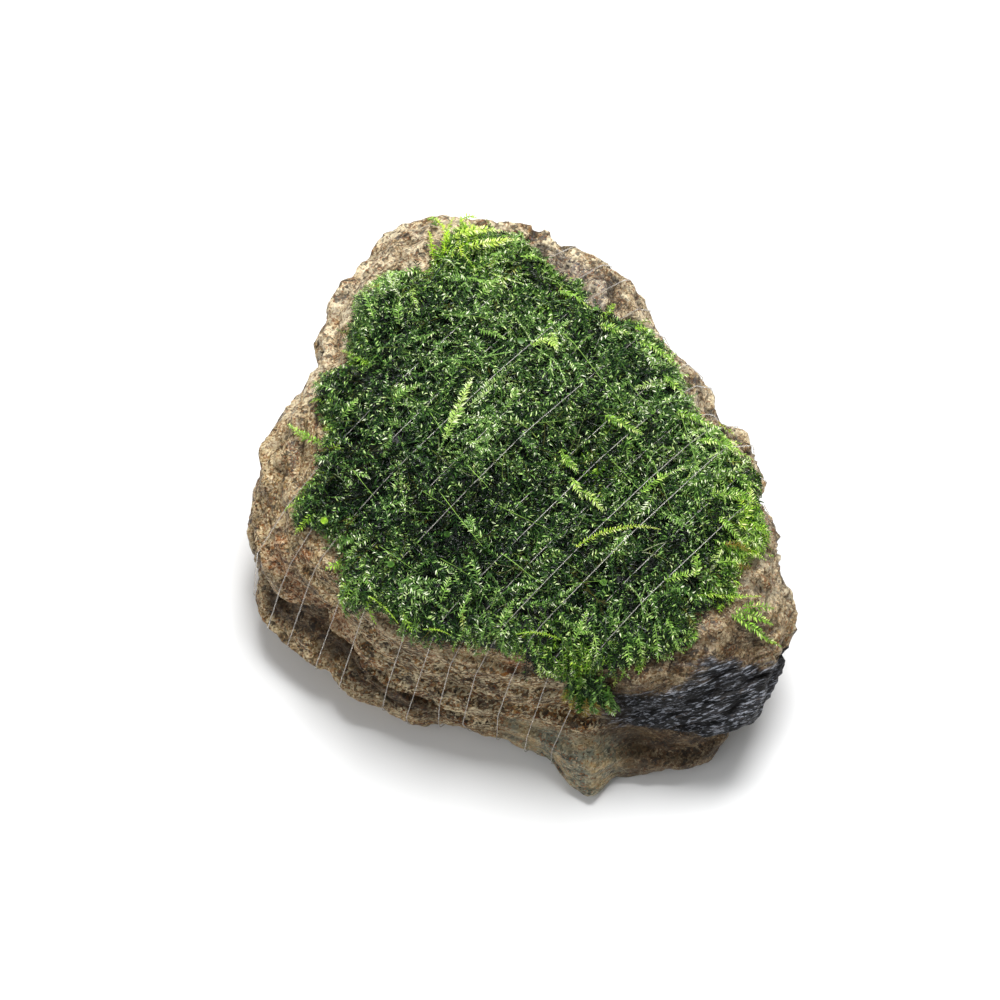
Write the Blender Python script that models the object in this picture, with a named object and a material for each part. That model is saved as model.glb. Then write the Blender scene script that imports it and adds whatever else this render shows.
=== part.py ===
# Weeping moss tied on a stone with clear nylon thread.
# Blender 4.5, metres, +Z up. The stone rests on its flat natural face at z = 0, and the
# origin is the middle of its footprint. The far side is +Y and the right side is +X.

import bpy
import numpy as np

MM = 0.001

# Driving dimensions in millimetres.
CROWN_HEIGHT = 31.0       # middle of the stone's top, under the moss
ARCH_HEIGHT = 2.6         # hollow of the underside, which the thread crosses
BAND_FOOT_HEIGHT = 1.9    # lower edge where the thread passes under the stone
MOSS_THICKNESS = 3.6
MOSS_EDGE_THICKNESS = 1.3
MOSS_GAP = 0.7
MOSS_SQUARENESS = 7       # how late the mat rounds off towards its edge
MOSS_LUMPS = [(7.0, 0.9, 11), (3.5, 0.4, 12)]  # size and height, and the noise's seed
TUFT_THICKNESS = 2.6
TUFT_EDGE_THICKNESS = 0.8
SHOOT_WIDTH = 2.6
SHOOT_TIP_WIDTH = 0.9
SHOOT_THICKNESS = 0.6
SHOOT_RINGS = 9
SHOOT_SIDES = 6
SHOOT_TAPER = 1.5         # how late a shoot narrows towards its tip
THREAD_DIAMETER = 0.3
THREAD_SMOOTHNESS = 1     # steps of its round section in each quarter, less one
KNOT_SCALE = 2.6          # the knots at the thread's ends, against its thickness
KNOT_REACH = 8.0          # how far the ends run in under the stone
KNOT_SHARE = 0.12         # share of an end that is knotted
TOUCH_GAP = 0.3

# Plain colours: red, green, blue and roughness.
ROCK_PAINT = (0.20, 0.16, 0.11, 0.75)
MOSS_PAINT = (0.03, 0.09, 0.02, 0.5)
SHOOT_PAINT = (0.10, 0.25, 0.03, 0.45)
NYLON_PAINT = (0.80, 0.82, 0.80, 0.15)

# Outlines of the stone: azimuth in degrees from +X, radius and height in millimetres.
RIM = [(0, 36.9, 26.0), (15, 31.9, 26.6), (30, 34.5, 27.0), (45, 33.6, 27.2), (56, 34.6, 27.5),
       (66, 39.0, 27.6), (75, 41.6, 27.6), (90, 45.4, 27.6), (97, 47.9, 27.4), (105, 50.3, 27.4),
       (115, 50.7, 27.2), (124, 45.9, 27.4), (135, 43.8, 27.2), (143, 40.8, 27.0),
       (150, 37.9, 27.0), (165, 37.6, 26.4), (180, 38.7, 25.8), (195, 40.9, 25.2),
       (210, 39.8, 25.0), (225, 38.8, 25.0), (255, 38.2, 25.0), (270, 38.2, 25.0),
       (285, 41.0, 24.0), (295, 45.5, 23.4), (305, 47.8, 23.6), (315, 49.9, 22.8),
       (323, 52.1, 21.4), (331, 46.6, 23.2), (345, 40.5, 25.4)]
GIRTH = [(0, 40.7, 17.0), (8, 40.1, 18.0), (15, 35.4, 19.0), (30, 38.0, 20.0), (45, 36.3, 20.0),
         (54, 38.4, 21.0), (64, 42.0, 21.4), (75, 45.3, 22.0), (88, 47.6, 22.0),
         (97, 51.0, 22.0), (106, 53.2, 22.0), (115, 54.3, 22.0), (125, 49.8, 22.0),
         (135, 48.2, 22.0), (143, 45.4, 21.0), (150, 41.3, 20.0), (157, 41.5, 19.6),
         (165, 42.5, 19.0), (180, 45.3, 17.0), (195, 46.8, 14.5), (205, 47.3, 14.0),
         (212, 44.7, 14.0), (221, 41.6, 13.6), (232, 42.2, 12.5), (245, 41.2, 12.0),
         (270, 42.4, 13.0), (280, 43.0, 13.0), (289, 46.2, 13.0), (298, 52.4, 12.6),
         (305, 56.6, 12.6), (313, 58.6, 13.2), (322, 56.9, 15.0), (330, 53.9, 17.0),
         (338, 49.0, 17.0), (346, 45.1, 17.0), (353, 41.2, 17.0)]
LOWER = [(0, 39.6, 8.0), (30, 36.4, 8.0), (60, 38.0, 8.0), (90, 44.7, 8.0), (108, 48.1, 8.0),
         (120, 46.7, 8.0), (135, 43.8, 8.0), (150, 39.9, 8.0), (165, 41.3, 8.0),
         (180, 44.4, 8.0), (195, 46.6, 7.0), (204, 50.4, 7.0), (212, 49.1, 7.0),
         (225, 44.8, 7.0), (240, 45.1, 7.0), (253, 42.9, 6.0), (263, 43.3, 5.0),
         (271, 45.2, 4.4), (277, 47.1, 3.4), (283, 54.9, 2.6), (289, 52.6, 2.6),
         (296, 53.9, 3.0), (304, 57.2, 3.6), (309, 56.1, 4.0), (315, 51.0, 6.0),
         (330, 45.7, 8.0), (345, 43.1, 8.0)]

# Outline of the moss: azimuth in degrees and radius in millimetres, tufts and notches.
MOSS = [(0, 36.6), (8, 32.6), (15, 30.6), (30, 31.2), (45, 32.6), (52, 31.6), (61, 30.0),
        (67, 30.6), (73, 35.4), (77, 34.8), (84, 38.6), (90, 43.4), (97, 44.8), (104, 47.0),
        (109, 43.8), (115, 38.6), (120, 41.2), (127, 42.6), (135, 40.8), (143, 37.0),
        (150, 34.2), (157, 37.4),
        (165, 36.6), (173, 32.6), (180, 34.0), (190, 35.8), (198, 40.8), (205, 36.4),
        (212, 35.2), (220, 38.4), (224, 40.0), (233, 37.6), (243, 38.8), (255, 37.4),
        (268, 37.8), (277, 40.4), (285, 41.4), (293, 43.6), (301, 44.2), (308, 46.0),
        (314, 42.0), (321, 45.0), (330, 42.5), (338, 44.6), (346, 41.0), (355, 39.4)]

# Clump that hangs over the front edge: middle and half size, by azimuth and row below.
TUFT_AZIMUTH = 284.5
TUFT_HALF_ANGLE = 6.0
TUFT_ROW = 0.462
TUFT_HALF_ROW = 0.056
TUFT_SIDES = 15
TUFT_TOP_SHARES = [0.45, 0.75, 0.93, 1.0]
TUFT_UNDER_SHARES = [0.94, 0.6]
TUFT_LOBES = (0.13, 3.0, 0.6)    # depth, how many, and their turn
TUFT_SQUARENESS = 4

# Rows of the stone's section, as a share of the way from the crown down to the underside.
CROWN_ROW = 0.0
TOP_ROW = 0.18
RIM_ROW = 0.36
GIRTH_ROW = 0.56
LOWER_ROW = 0.74
FOOT_ROW = 0.84
BASE_ROW = 1.0

# Columns of the stone's and the moss's faces: where they stand closer together, and how many.
NEAR_START = 270.0
NEAR_END = 332.0
FAR_COLUMNS = 54
NEAR_COLUMNS = 24
RIGHT_COLUMNS = 6
STONE_ROWS = [0.12, 0.23, *np.linspace(0.30, 0.84, 20), 0.865, 0.895, 0.935]
MOSS_TOP_SHARES = [0.2, 0.4, 0.58, 0.74, 0.86, 0.94, 1.0]
MOSS_UNDER_SHARES = [0.985, 0.95, 0.9, 0.84, 0.76, 0.64, 0.4]

# Loose shoots that trail from the mat over bare rock: points from root to tip, in millimetres.
SHOOTS = {
    "shoot_left": [(-35.9, -0.8, 27.6), (-37.6, 1.6, 27.1), (-39.8, 4.3, 26.0),
                     (-45.0, 7.6, 25.3)],
    "shoot_back": [(-14.5, 46.4, 28.8), (-15.5, 48.7, 28.8), (-16.8, 51.1, 27.6)],
    "shoot_corner": [(35.2, -29.6, 25.8), (37.4, -30.9, 24.9), (41.0, -32.9, 23.1),
                     (45.1, -35.1, 21.5)],
    "shoot_right_lower": [(36.1, -27.3, 25.2), (38.2, -27.1, 25.2), (41.0, -26.8, 24.2)],
    "shoot_right_upper": [(41.1, -19.1, 25.7), (43.5, -20.0, 24.9), (46.5, -21.0, 24.3)],
}

# Where the two flat lands of the underside end, across the thread's runs.
BACK_LAND = (-31.0, -25.0)
FRONT_LAND = (37.5, 42.0)

THREAD_FLATNESS = 0.16   # a corner that stands out less than this is left out

# Relief of the bare rock. Lumps and waves: size and height in millimetres, and the noise's seed.
LUMPS = [(12.0, 0.7, 3), (6.0, 0.6, 4), (4.5, 0.35, 23)]
WAVES = [(17.0, 1.6, 5), (7.0, 0.6, 6)]
BARE_EDGE = (-0.5, 3.0)      # relief begins between these distances out from the moss's outline
BARE_ROWS = (0.53, 0.60)     # below these rows all is bare
SMOOTH_ROWS = (0.78, 0.83)   # relief ends between these rows, above the resting face

# Broken plates of schist: lumps cut into steps with short risers.
PLATE_SIZE = 9.0
PLATE_FLATNESS = 2.2
PLATE_STEPS = 3.2
PLATE_HEIGHT = 0.42
PLATE_SEED = 35
RISER = (0.36, 0.64)

# Ledges of the layers, which dip slightly across the stone.
LAYER_PITCH = 4.6
LAYER_HEIGHT = 1.2
LAYER_DIP = 0.10
LAYER_TREAD = 0.75

# Dark cliff at the front right, with ridges that rise to the right.
CLIFF_SPAN = (288.0, 330.0, 8.0)   # first and last azimuth, and how softly it ends
CLIFF_HEIGHTS = (11.0, 13.5)
CLIFF_ROWS = (0.36, 0.42)
RIDGE_PITCH = 4.2
RIDGE_HEIGHT = 0.55
RIDGE_RISE = 0.34
RIDGE_AZIMUTH = 300.0
RIDGE_WAVE = 0.7

# Block set back under the cliff.
BLOCK_ROWS = (0.57, 0.60, 0.66, 0.72)
BLOCK_DEPTH = 1.4

# Lip of the upper slab over a darker layer set back at the left: azimuth and row.
LIP = [(190, 0.50), (199, 0.49), (204, 0.56), (210, 0.54), (217, 0.515), (220, 0.58), (228, 0.54),
       (231, 0.58), (238, 0.59), (246, 0.60), (256, 0.62), (300, 0.62)]
LIP_SPAN = (190.0, 252.0, 12.0)
LIP_DEPTH = 1.7
LIP_FALL = 0.018             # rows over which the slab's edge drops back
LIP_FOOT = (0.09, 0.15)      # rows below the lip over which the dark layer comes out again
BROW_HEIGHT = 0.55
BROW_ROWS = (-0.07, -0.01)

# Thread: its runs are parallel in plan, and these are the places of the turns across them.
THREAD_AZIMUTH = 47.0
THREAD_TURNS = [-22.8, -15.8, -10.9, -4.5, 1.0, 9.0, 13.4, 17.6, 21.9, 26.6, 31.3, 36.0]


def slopes_between(values, steps):
    # slope at each inner point, nought at a peak or a dip, so a curve never overshoots
    slope = np.diff(values, axis=0) / steps
    same_way = slope[1:] * slope[:-1] > 0
    total = np.where(same_way, slope[1:] + slope[:-1], 1.0)
    return slope, np.where(same_way, 2.0 * slope[1:] * slope[:-1] / total, 0.0)


def hermite(t, start, end, start_slope, end_slope):
    # cubic from start to end with the given slopes per whole step, t from 0 to 1
    return (start * (2 * t**3 - 3 * t**2 + 1) + start_slope * (t**3 - 2 * t**2 + t)
            + end * (3 * t**2 - 2 * t**3) + end_slope * (t**3 - t**2))


def around(outline, azimuth, column):
    # value of one column of a closed outline at any azimuth, by a smooth closed curve
    table = np.array(outline, float)
    angles = np.concatenate([table[-2:, 0] - 360, table[:, 0], table[:2, 0] + 360])
    values = np.concatenate([table[-2:, column], table[:, column], table[:2, column]])
    steps = np.diff(angles)
    inner = slopes_between(values, steps)[1]
    slopes = np.concatenate([[0.0], inner, [0.0]])
    turned = np.mod(azimuth, 360.0)
    index = np.searchsorted(angles, turned, side="right") - 1
    t = (turned - angles[index]) / steps[index]
    return hermite(t, values[index], values[index + 1],
                   slopes[index] * steps[index], slopes[index + 1] * steps[index])


def smooth_step(value, low, high):
    t = np.clip((value - low) / (high - low), 0.0, 1.0)
    return t * t * (3.0 - 2.0 * t)


def lattice_noise(points, seed):
    # smooth noise from -1 to 1: hashed values at whole points, blended between them
    points = points + 0.37 * seed
    cell = np.floor(points).astype(np.int64)
    part = points - cell
    part = part * part * (3.0 - 2.0 * part)
    total = np.zeros(points.shape[:-1])
    for corner in np.ndindex(2, 2, 2):
        place = cell + np.array(corner)
        mixed = place[..., 0] * 73856093 ^ place[..., 1] * 19349663 ^ place[..., 2] * 83492791
        mixed = (mixed ^ seed * 2654435761) & 0x7FFFFFFF
        mixed = ((mixed ^ mixed >> 13) * 1274126177) & 0x7FFFFFFF
        value = (mixed >> 8 & 0xFFFF) / 32767.5 - 1.0
        weight = np.prod(np.where(np.array(corner) == 1, part, 1.0 - part), axis=-1)
        total += weight * value
    return total


def across_thread(x, y):
    # distance across the thread's runs, in millimetres
    turned = np.radians(THREAD_AZIMUTH - 90.0)
    return x * np.cos(turned) + y * np.sin(turned)


def along_thread(x, y):
    turned = np.radians(THREAD_AZIMUTH)
    return x * np.cos(turned) + y * np.sin(turned)


def between_lands(across):
    # 1 under the wound band and 0 on the two flat lands that the stone rests on
    return smooth_step(across, *BACK_LAND) * (1.0 - smooth_step(across, *FRONT_LAND))


def stone_section(azimuth, row):
    # radius and height of the stone's plain form, rows joined by a smooth curve
    rim_radius, rim_height = around(RIM, azimuth, 1), around(RIM, azimuth, 2)
    girth_radius, girth_height = around(GIRTH, azimuth, 1), around(GIRTH, azimuth, 2)
    lower_radius, lower_height = around(LOWER, azimuth, 1), around(LOWER, azimuth, 2)
    zero = np.zeros_like(rim_radius)
    foot_radius = 0.9 * lower_radius - 1.0
    angle = np.radians(azimuth)
    across = across_thread(foot_radius * np.cos(angle), foot_radius * np.sin(angle))
    foot_height = BAND_FOOT_HEIGHT * between_lands(across)
    rows = np.array([CROWN_ROW, TOP_ROW, RIM_ROW, GIRTH_ROW, LOWER_ROW, FOOT_ROW, BASE_ROW])
    radius = np.stack([zero, 0.55 * rim_radius, rim_radius, girth_radius, lower_radius,
                       foot_radius, zero])
    height = np.stack([zero + CROWN_HEIGHT, 0.65 * CROWN_HEIGHT + 0.35 * rim_height, rim_height,
                       girth_height, lower_height, foot_height, zero + ARCH_HEIGHT])
    steps = np.diff(rows)
    index = np.clip(np.searchsorted(rows, row, side="right") - 1, 0, len(steps) - 1)
    t = (row - rows[index]) / steps[index]
    result = []
    for table in (radius, height):
        slope, inner = slopes_between(table, steps.reshape((-1,) + (1,) * zero.ndim))
        slopes = np.concatenate([slope[:1], inner, slope[-1:]])
        start = np.take_along_axis(table, index[None], 0)[0]
        end = np.take_along_axis(table, index[None] + 1, 0)[0]
        start_slope = np.take_along_axis(slopes, index[None], 0)[0] * steps[index]
        end_slope = np.take_along_axis(slopes, index[None] + 1, 0)[0] * steps[index]
        result.append(hermite(t, start, end, start_slope, end_slope))
    return result


def plain_stone(azimuth, row):
    radius, height = stone_section(azimuth, row)
    x, y = radius * np.cos(np.radians(azimuth)), radius * np.sin(np.radians(azimuth))
    inward = np.clip((row - FOOT_ROW) / (BASE_ROW - FOOT_ROW), 0.0, 1.0)
    arch = BAND_FOOT_HEIGHT + (ARCH_HEIGHT - BAND_FOOT_HEIGHT) * inward
    underside = arch * between_lands(across_thread(x, y))
    return np.stack([x, y, np.where(row > FOOT_ROW, underside, height)], axis=-1)


def outward(azimuth, row):
    # unit normal of the plain form, from two small steps on the surface
    step = 0.01
    row = np.clip(row, step, 1.0 - step)
    along = plain_stone(azimuth + 0.5, row) - plain_stone(azimuth - 0.5, row)
    down = plain_stone(azimuth, row + step) - plain_stone(azimuth, row - step)
    normal = np.cross(down, along)
    return normal / np.maximum(np.linalg.norm(normal, axis=-1, keepdims=True), 1e-9)


def span(azimuth, start, end, soft):
    # 1 inside a range of azimuths and 0 outside, with soft ends
    middle, half = 0.5 * (start + end), 0.5 * (end - start)
    apart = np.abs(np.mod(azimuth - middle + 180.0, 360.0) - 180.0)
    return 1.0 - smooth_step(apart, half - 0.5 * soft, half + 0.5 * soft)


def layered_noise(place, table):
    return sum(height * lattice_noise(place / size, seed) for size, height, seed in table)


def fraction(value):
    return value - np.floor(value)


def plates(value):
    # steps with short risers: the whole part, and a steep rise in the fraction
    return np.floor(value) + smooth_step(fraction(value), *RISER)


def stone_relief(azimuth, row):
    # lumps, plates, ledges, the lip and the cliff, in millimetres out of the plain form
    place = plain_stone(azimuth, row)
    radius = np.hypot(place[..., 0], place[..., 1])
    height = place[..., 2]
    bare = np.maximum(smooth_step(radius - around(MOSS, azimuth, 1), *BARE_EDGE),
                      smooth_step(row, *BARE_ROWS))
    bare = bare * (1.0 - smooth_step(row, *SMOOTH_ROWS))
    wave = layered_noise(place, WAVES)
    saw = fraction((height + LAYER_DIP * place[..., 0] + wave) / LAYER_PITCH)
    ledges = np.minimum(saw / LAYER_TREAD, (1.0 - saw) / (1.0 - LAYER_TREAD)) - 0.5
    flattened = place * np.array([1.0, 1.0, PLATE_FLATNESS]) / PLATE_SIZE
    broken = PLATE_HEIGHT * plates(PLATE_STEPS * lattice_noise(flattened, PLATE_SEED))
    front = span(azimuth, *CLIFF_SPAN)
    cliff = front * smooth_step(height, *CLIFF_HEIGHTS) * smooth_step(row, *CLIFF_ROWS)
    rising = (height - RIDGE_RISE * (azimuth - RIDGE_AZIMUTH) + RIDGE_WAVE * wave) / RIDGE_PITCH
    ridges = 1.0 - 2.0 * np.abs(2.0 * fraction(rising) - 1.0)
    block = front * smooth_step(row, *BLOCK_ROWS[:2]) * (1.0 - smooth_step(row, *BLOCK_ROWS[2:]))
    lip = np.interp(np.mod(azimuth, 360.0), *np.array(LIP).T)
    dropped = smooth_step(row - lip, 0.0, LIP_FALL)
    left = span(azimuth, *LIP_SPAN)
    under = left * dropped * (1.0 - smooth_step(row - lip, *LIP_FOOT))
    brow = left * smooth_step(row - lip, *BROW_ROWS) * (1.0 - dropped)
    relief = (layered_noise(place, LUMPS) + broken) * (1.0 - 0.5 * cliff)
    relief = relief + LAYER_HEIGHT * ledges * (1.0 - cliff) + RIDGE_HEIGHT * ridges * cliff
    relief = relief + BROW_HEIGHT * brow - LIP_DEPTH * under - BLOCK_DEPTH * block
    return relief * bare


def stone_surface(azimuth, row, lift=0.0):
    reach = stone_relief(azimuth, row) + lift
    return plain_stone(azimuth, row) + outward(azimuth, row) * reach[..., None]


def closed_rows(name, rings, first, last):
    # closed mesh from rings of points, with a single point at each end
    count = rings.shape[1]
    vertices = [first] + list(rings.reshape(-1, 3)) + [last]
    faces = []
    end = len(vertices) - 1
    for i in range(count):
        j = (i + 1) % count
        faces.append((0, 1 + i, 1 + j))
        for k in range(len(rings) - 1):
            upper, under = 1 + k * count, 1 + (k + 1) * count
            faces.append((upper + i, under + i, under + j))
            faces.append((upper + i, under + j, upper + j))
        tail = 1 + (len(rings) - 1) * count
        faces.append((tail + j, tail + i, end))
    mesh = bpy.data.meshes.new(name)
    mesh.from_pydata([tuple(point * MM) for point in vertices], [], faces)
    mesh.update()
    return mesh


def place_object(name, data, paint):
    # new object with its own plain material
    *colour, roughness = paint
    material = bpy.data.materials.new(name)
    material.use_nodes = True
    shader = material.node_tree.nodes["Principled BSDF"]
    shader.inputs["Base Color"].default_value = (*colour, 1.0)
    shader.inputs["Roughness"].default_value = roughness
    shader.inputs["Metallic"].default_value = 0.0
    item = bpy.data.objects.new(name, data)
    item.data.materials.append(material)
    bpy.context.scene.collection.objects.link(item)
    return item


def section_azimuths():
    # closer together round the nub and the cliff at the front right
    return np.concatenate([np.linspace(0.0, NEAR_START, FAR_COLUMNS, endpoint=False),
                           np.linspace(NEAR_START, NEAR_END, NEAR_COLUMNS, endpoint=False),
                           np.linspace(NEAR_END, 360.0, RIGHT_COLUMNS, endpoint=False)])


def make_stone():
    azimuth, row = np.meshgrid(section_azimuths(), STONE_ROWS)
    rings = stone_surface(azimuth, row)
    rings[..., 2] = np.maximum(rings[..., 2], 0.0)
    first = np.array([0.0, 0.0, CROWN_HEIGHT])
    last = np.array([0.0, 0.0, ARCH_HEIGHT])
    return closed_rows("stone", rings, first, last)


def row_of_radius(azimuth, radius):
    # row at which the stone's top reaches a radius, between the crown and the girth
    rows = np.linspace(CROWN_ROW, GIRTH_ROW, 80).reshape((-1,) + (1,) * azimuth.ndim)
    around_all = azimuth[None] + 0.0 * rows
    table = stone_section(around_all, rows + 0.0 * around_all)[0]
    index = np.clip((table < radius[None]).sum(axis=0), 1, len(rows) - 1)
    inner = np.take_along_axis(table, index[None] - 1, 0)[0]
    outer = np.take_along_axis(table, index[None], 0)[0]
    share = np.clip((radius - inner) / np.maximum(outer - inner, 1e-6), 0.0, 1.0)
    return (index - 1 + share) * GIRTH_ROW / (len(rows) - 1)


def moss_lift(azimuth, row, share):
    # height of the moss over the stone: lumpy, and rounded off towards its edge
    place = plain_stone(azimuth, row)
    dome = np.sqrt(np.clip(1.0 - share**MOSS_SQUARENESS, 0.0, 1.0))
    middle = MOSS_THICKNESS - MOSS_EDGE_THICKNESS + layered_noise(place, MOSS_LUMPS)
    return MOSS_GAP + MOSS_EDGE_THICKNESS + middle * dome


def make_moss():
    azimuths = section_azimuths()
    edge = row_of_radius(azimuths, around(MOSS, azimuths, 1))
    azimuth, share = np.meshgrid(azimuths, MOSS_TOP_SHARES)
    row = share * edge[None]
    top = stone_surface(azimuth, row, moss_lift(azimuth, row, share))
    azimuth, share = np.meshgrid(azimuths, MOSS_UNDER_SHARES)
    under = stone_surface(azimuth, share * edge[None], MOSS_GAP)
    first = np.array([0.0, 0.0, CROWN_HEIGHT + MOSS_THICKNESS + MOSS_GAP])
    last = np.array([0.0, 0.0, CROWN_HEIGHT + MOSS_GAP])
    return closed_rows("moss_mat", np.concatenate([top, under]), first, last)


def make_tuft():
    # clump that hangs from the mat over the front edge, a lumpy oval patch of the surface
    turn = np.linspace(0.0, 2.0 * np.pi, TUFT_SIDES, endpoint=False)
    depth, lobes, first_lobe = TUFT_LOBES
    rings = []
    for shares, covered in ((TUFT_TOP_SHARES, True), (TUFT_UNDER_SHARES, False)):
        angle, share = np.meshgrid(turn, shares)
        reach = share * (1.0 + depth * np.cos(lobes * angle + first_lobe))
        azimuth = TUFT_AZIMUTH + TUFT_HALF_ANGLE * reach * np.cos(angle)
        row = TUFT_ROW - TUFT_HALF_ROW * reach * np.sin(angle)
        dome = np.sqrt(np.clip(1.0 - share**TUFT_SQUARENESS, 0.0, 1.0)) * covered
        edge = TUFT_EDGE_THICKNESS * covered
        lift = MOSS_GAP + edge + (TUFT_THICKNESS - edge) * dome
        rings.append(stone_surface(azimuth, row, lift))
    azimuth, row = np.array([TUFT_AZIMUTH]), np.array([TUFT_ROW])
    first = stone_surface(azimuth, row, np.array([MOSS_GAP + TUFT_THICKNESS]))[0]
    last = stone_surface(azimuth, row, np.array([MOSS_GAP]))[0]
    return closed_rows("hanging_tuft", np.concatenate(rings), first, last)


def smooth_path(points, count):
    # evenly counted points on a smooth curve through the given ones
    points = np.array(points, float)
    spans = np.linalg.norm(np.diff(points, axis=0), axis=1)
    reached = np.concatenate([[0.0], np.cumsum(spans)])
    slope, inner = slopes_between(points, spans[:, None])
    slopes = np.concatenate([slope[:1], inner, slope[-1:]])
    wanted = np.linspace(0.0, reached[-1], count)
    index = np.clip(np.searchsorted(reached, wanted, side="right") - 1, 0, len(spans) - 1)
    t = ((wanted - reached[index]) / spans[index])[:, None]
    step = spans[index][:, None]
    return hermite(t, points[index], points[index + 1], slopes[index] * step,
                   slopes[index + 1] * step)


def make_shoot(name, points):
    # flat leafy strip with six sides, tapering to its tip
    path = smooth_path(points, SHOOT_RINGS)
    way = np.gradient(path, axis=0)
    way = way / np.linalg.norm(way, axis=1, keepdims=True)
    side = np.cross(way, (0.0, 0.0, 1.0))
    side = side / np.linalg.norm(side, axis=1, keepdims=True)
    over = np.cross(side, way)
    share = np.linspace(0.0, 1.0, len(path))
    half_width = 0.5 * (SHOOT_WIDTH + (SHOOT_TIP_WIDTH - SHOOT_WIDTH) * share**SHOOT_TAPER)
    half_width = half_width * np.sqrt(np.clip(4.0 * share + 0.3, 0.0, 1.0))
    angles = np.linspace(0.0, 2.0 * np.pi, SHOOT_SIDES, endpoint=False)
    rings = (path[:, None] + side[:, None] * (half_width[:, None] * np.cos(angles))[..., None]
             + over[:, None] * (0.5 * SHOOT_THICKNESS * np.sin(angles))[:, None])
    middle = rings[1:-1]
    return closed_rows(name, middle, path[0], path[-1])


def cut_points(mesh, across):
    # where a mesh's edges cross an upright plane along the thread: distance along, height
    place = np.empty(len(mesh.vertices) * 3)
    mesh.vertices.foreach_get("co", place)
    place = place.reshape(-1, 3) / MM
    ends = np.empty(len(mesh.edges) * 2, int)
    mesh.edges.foreach_get("vertices", ends)
    start, end = place[ends[0::2]], place[ends[1::2]]
    before = across_thread(start[:, 0], start[:, 1]) - across
    after = across_thread(end[:, 0], end[:, 1]) - across
    crossing = before * after < 0.0
    share = (before / np.where(crossing, before - after, 1.0))[crossing, None]
    point = start[crossing] + (end[crossing] - start[crossing]) * share
    return np.stack([along_thread(point[:, 0], point[:, 1]), point[:, 2]], axis=1)


def turn_of(a, b, c):
    return (b[0] - a[0]) * (c[1] - a[1]) - (b[1] - a[1]) * (c[0] - a[0])


def taut_loop(points):
    # convex hull of the cut, anticlockwise from its leftmost point, without flat corners
    ordered = sorted(map(tuple, points))
    halves = []
    for run in (ordered, ordered[::-1]):
        half = []
        for point in run:
            while len(half) > 1 and turn_of(half[-2], half[-1], point) <= 0.0:
                half.pop()
            half.append(point)
        halves.extend(half[:-1])
    loop = [halves[0]]
    for before, after in zip(halves[1:], halves[2:] + halves[:1]):
        long_way = np.hypot(after[0] - loop[-1][0], after[1] - loop[-1][1])
        if turn_of(loop[-1], before, after) > THREAD_FLATNESS * long_way:
            loop.append(before)
    return np.array(loop)


def grown_loop(loop, reach):
    # loop moved outward by the same distance everywhere
    ahead = np.roll(loop, -1, axis=0) - loop
    normal = np.stack([ahead[:, 1], -ahead[:, 0]], axis=1)
    normal = normal / np.linalg.norm(normal, axis=1, keepdims=True)
    both = normal + np.roll(normal, 1, axis=0)
    return loop + both * reach / (0.5 * (both**2).sum(axis=1, keepdims=True))


def thread_route(meshes):
    # every turn runs up the near flank, over the moss and down the far flank in one plane,
    # and passes under the stone to the next turn
    turned = np.radians(THREAD_AZIMUTH)
    along_way = np.array([np.cos(turned), np.sin(turned), 0.0])
    across_way = np.array([np.sin(turned), -np.cos(turned), 0.0])
    up = np.array([0.0, 0.0, 1.0])
    route = []
    for across in THREAD_TURNS:
        points = np.concatenate([cut_points(mesh, across) for mesh in meshes])
        loop = grown_loop(taut_loop(points), 0.5 * THREAD_DIAMETER + TOUCH_GAP)
        spans = np.roll(loop, -1, axis=0) - loop
        under = int(np.argmax(spans[:, 0] - 2.0 * np.abs(spans[:, 1])))
        over = np.roll(loop, -under - 1, axis=0)[::-1]
        route.extend(p[0] * along_way + across * across_way + p[1] * up for p in over)
    inward = KNOT_REACH * along_way
    route.insert(0, route[0] + inward)
    route.append(route[-1] - inward)
    return np.array(route)


def make_thread(meshes):
    route = thread_route(meshes)
    curve = bpy.data.curves.new("nylon_thread", "CURVE")
    curve.dimensions = "3D"
    curve.bevel_depth = 0.5 * THREAD_DIAMETER * MM
    curve.bevel_resolution = THREAD_SMOOTHNESS
    curve.use_fill_caps = True
    ends = [route[0], route[0] + (route[1] - route[0]) * KNOT_SHARE,
            route[-1] + (route[-2] - route[-1]) * KNOT_SHARE, route[-1]]
    points = np.concatenate([ends[:2], route[1:-1], ends[2:]])
    spline = curve.splines.new("POLY")
    spline.points.add(len(points) - 1)
    for target, point in zip(spline.points, points):
        target.co = (*(point * MM), 1.0)
    for index in (0, 1, -2, -1):
        spline.points[index].radius = KNOT_SCALE
    return curve


def clear_scene():
    for item in list(bpy.data.objects):
        bpy.data.objects.remove(item, do_unlink=True)


def main():
    clear_scene()
    stone = place_object("stone", make_stone(), ROCK_PAINT)
    moss = place_object("moss_mat", make_moss(), MOSS_PAINT)
    tuft = place_object("hanging_tuft", make_tuft(), MOSS_PAINT)
    for name, points in SHOOTS.items():
        place_object(name, make_shoot(name, points), SHOOT_PAINT)
    thread = make_thread([stone.data, moss.data, tuft.data])
    place_object("nylon_thread", thread, NYLON_PAINT)


main()
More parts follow.
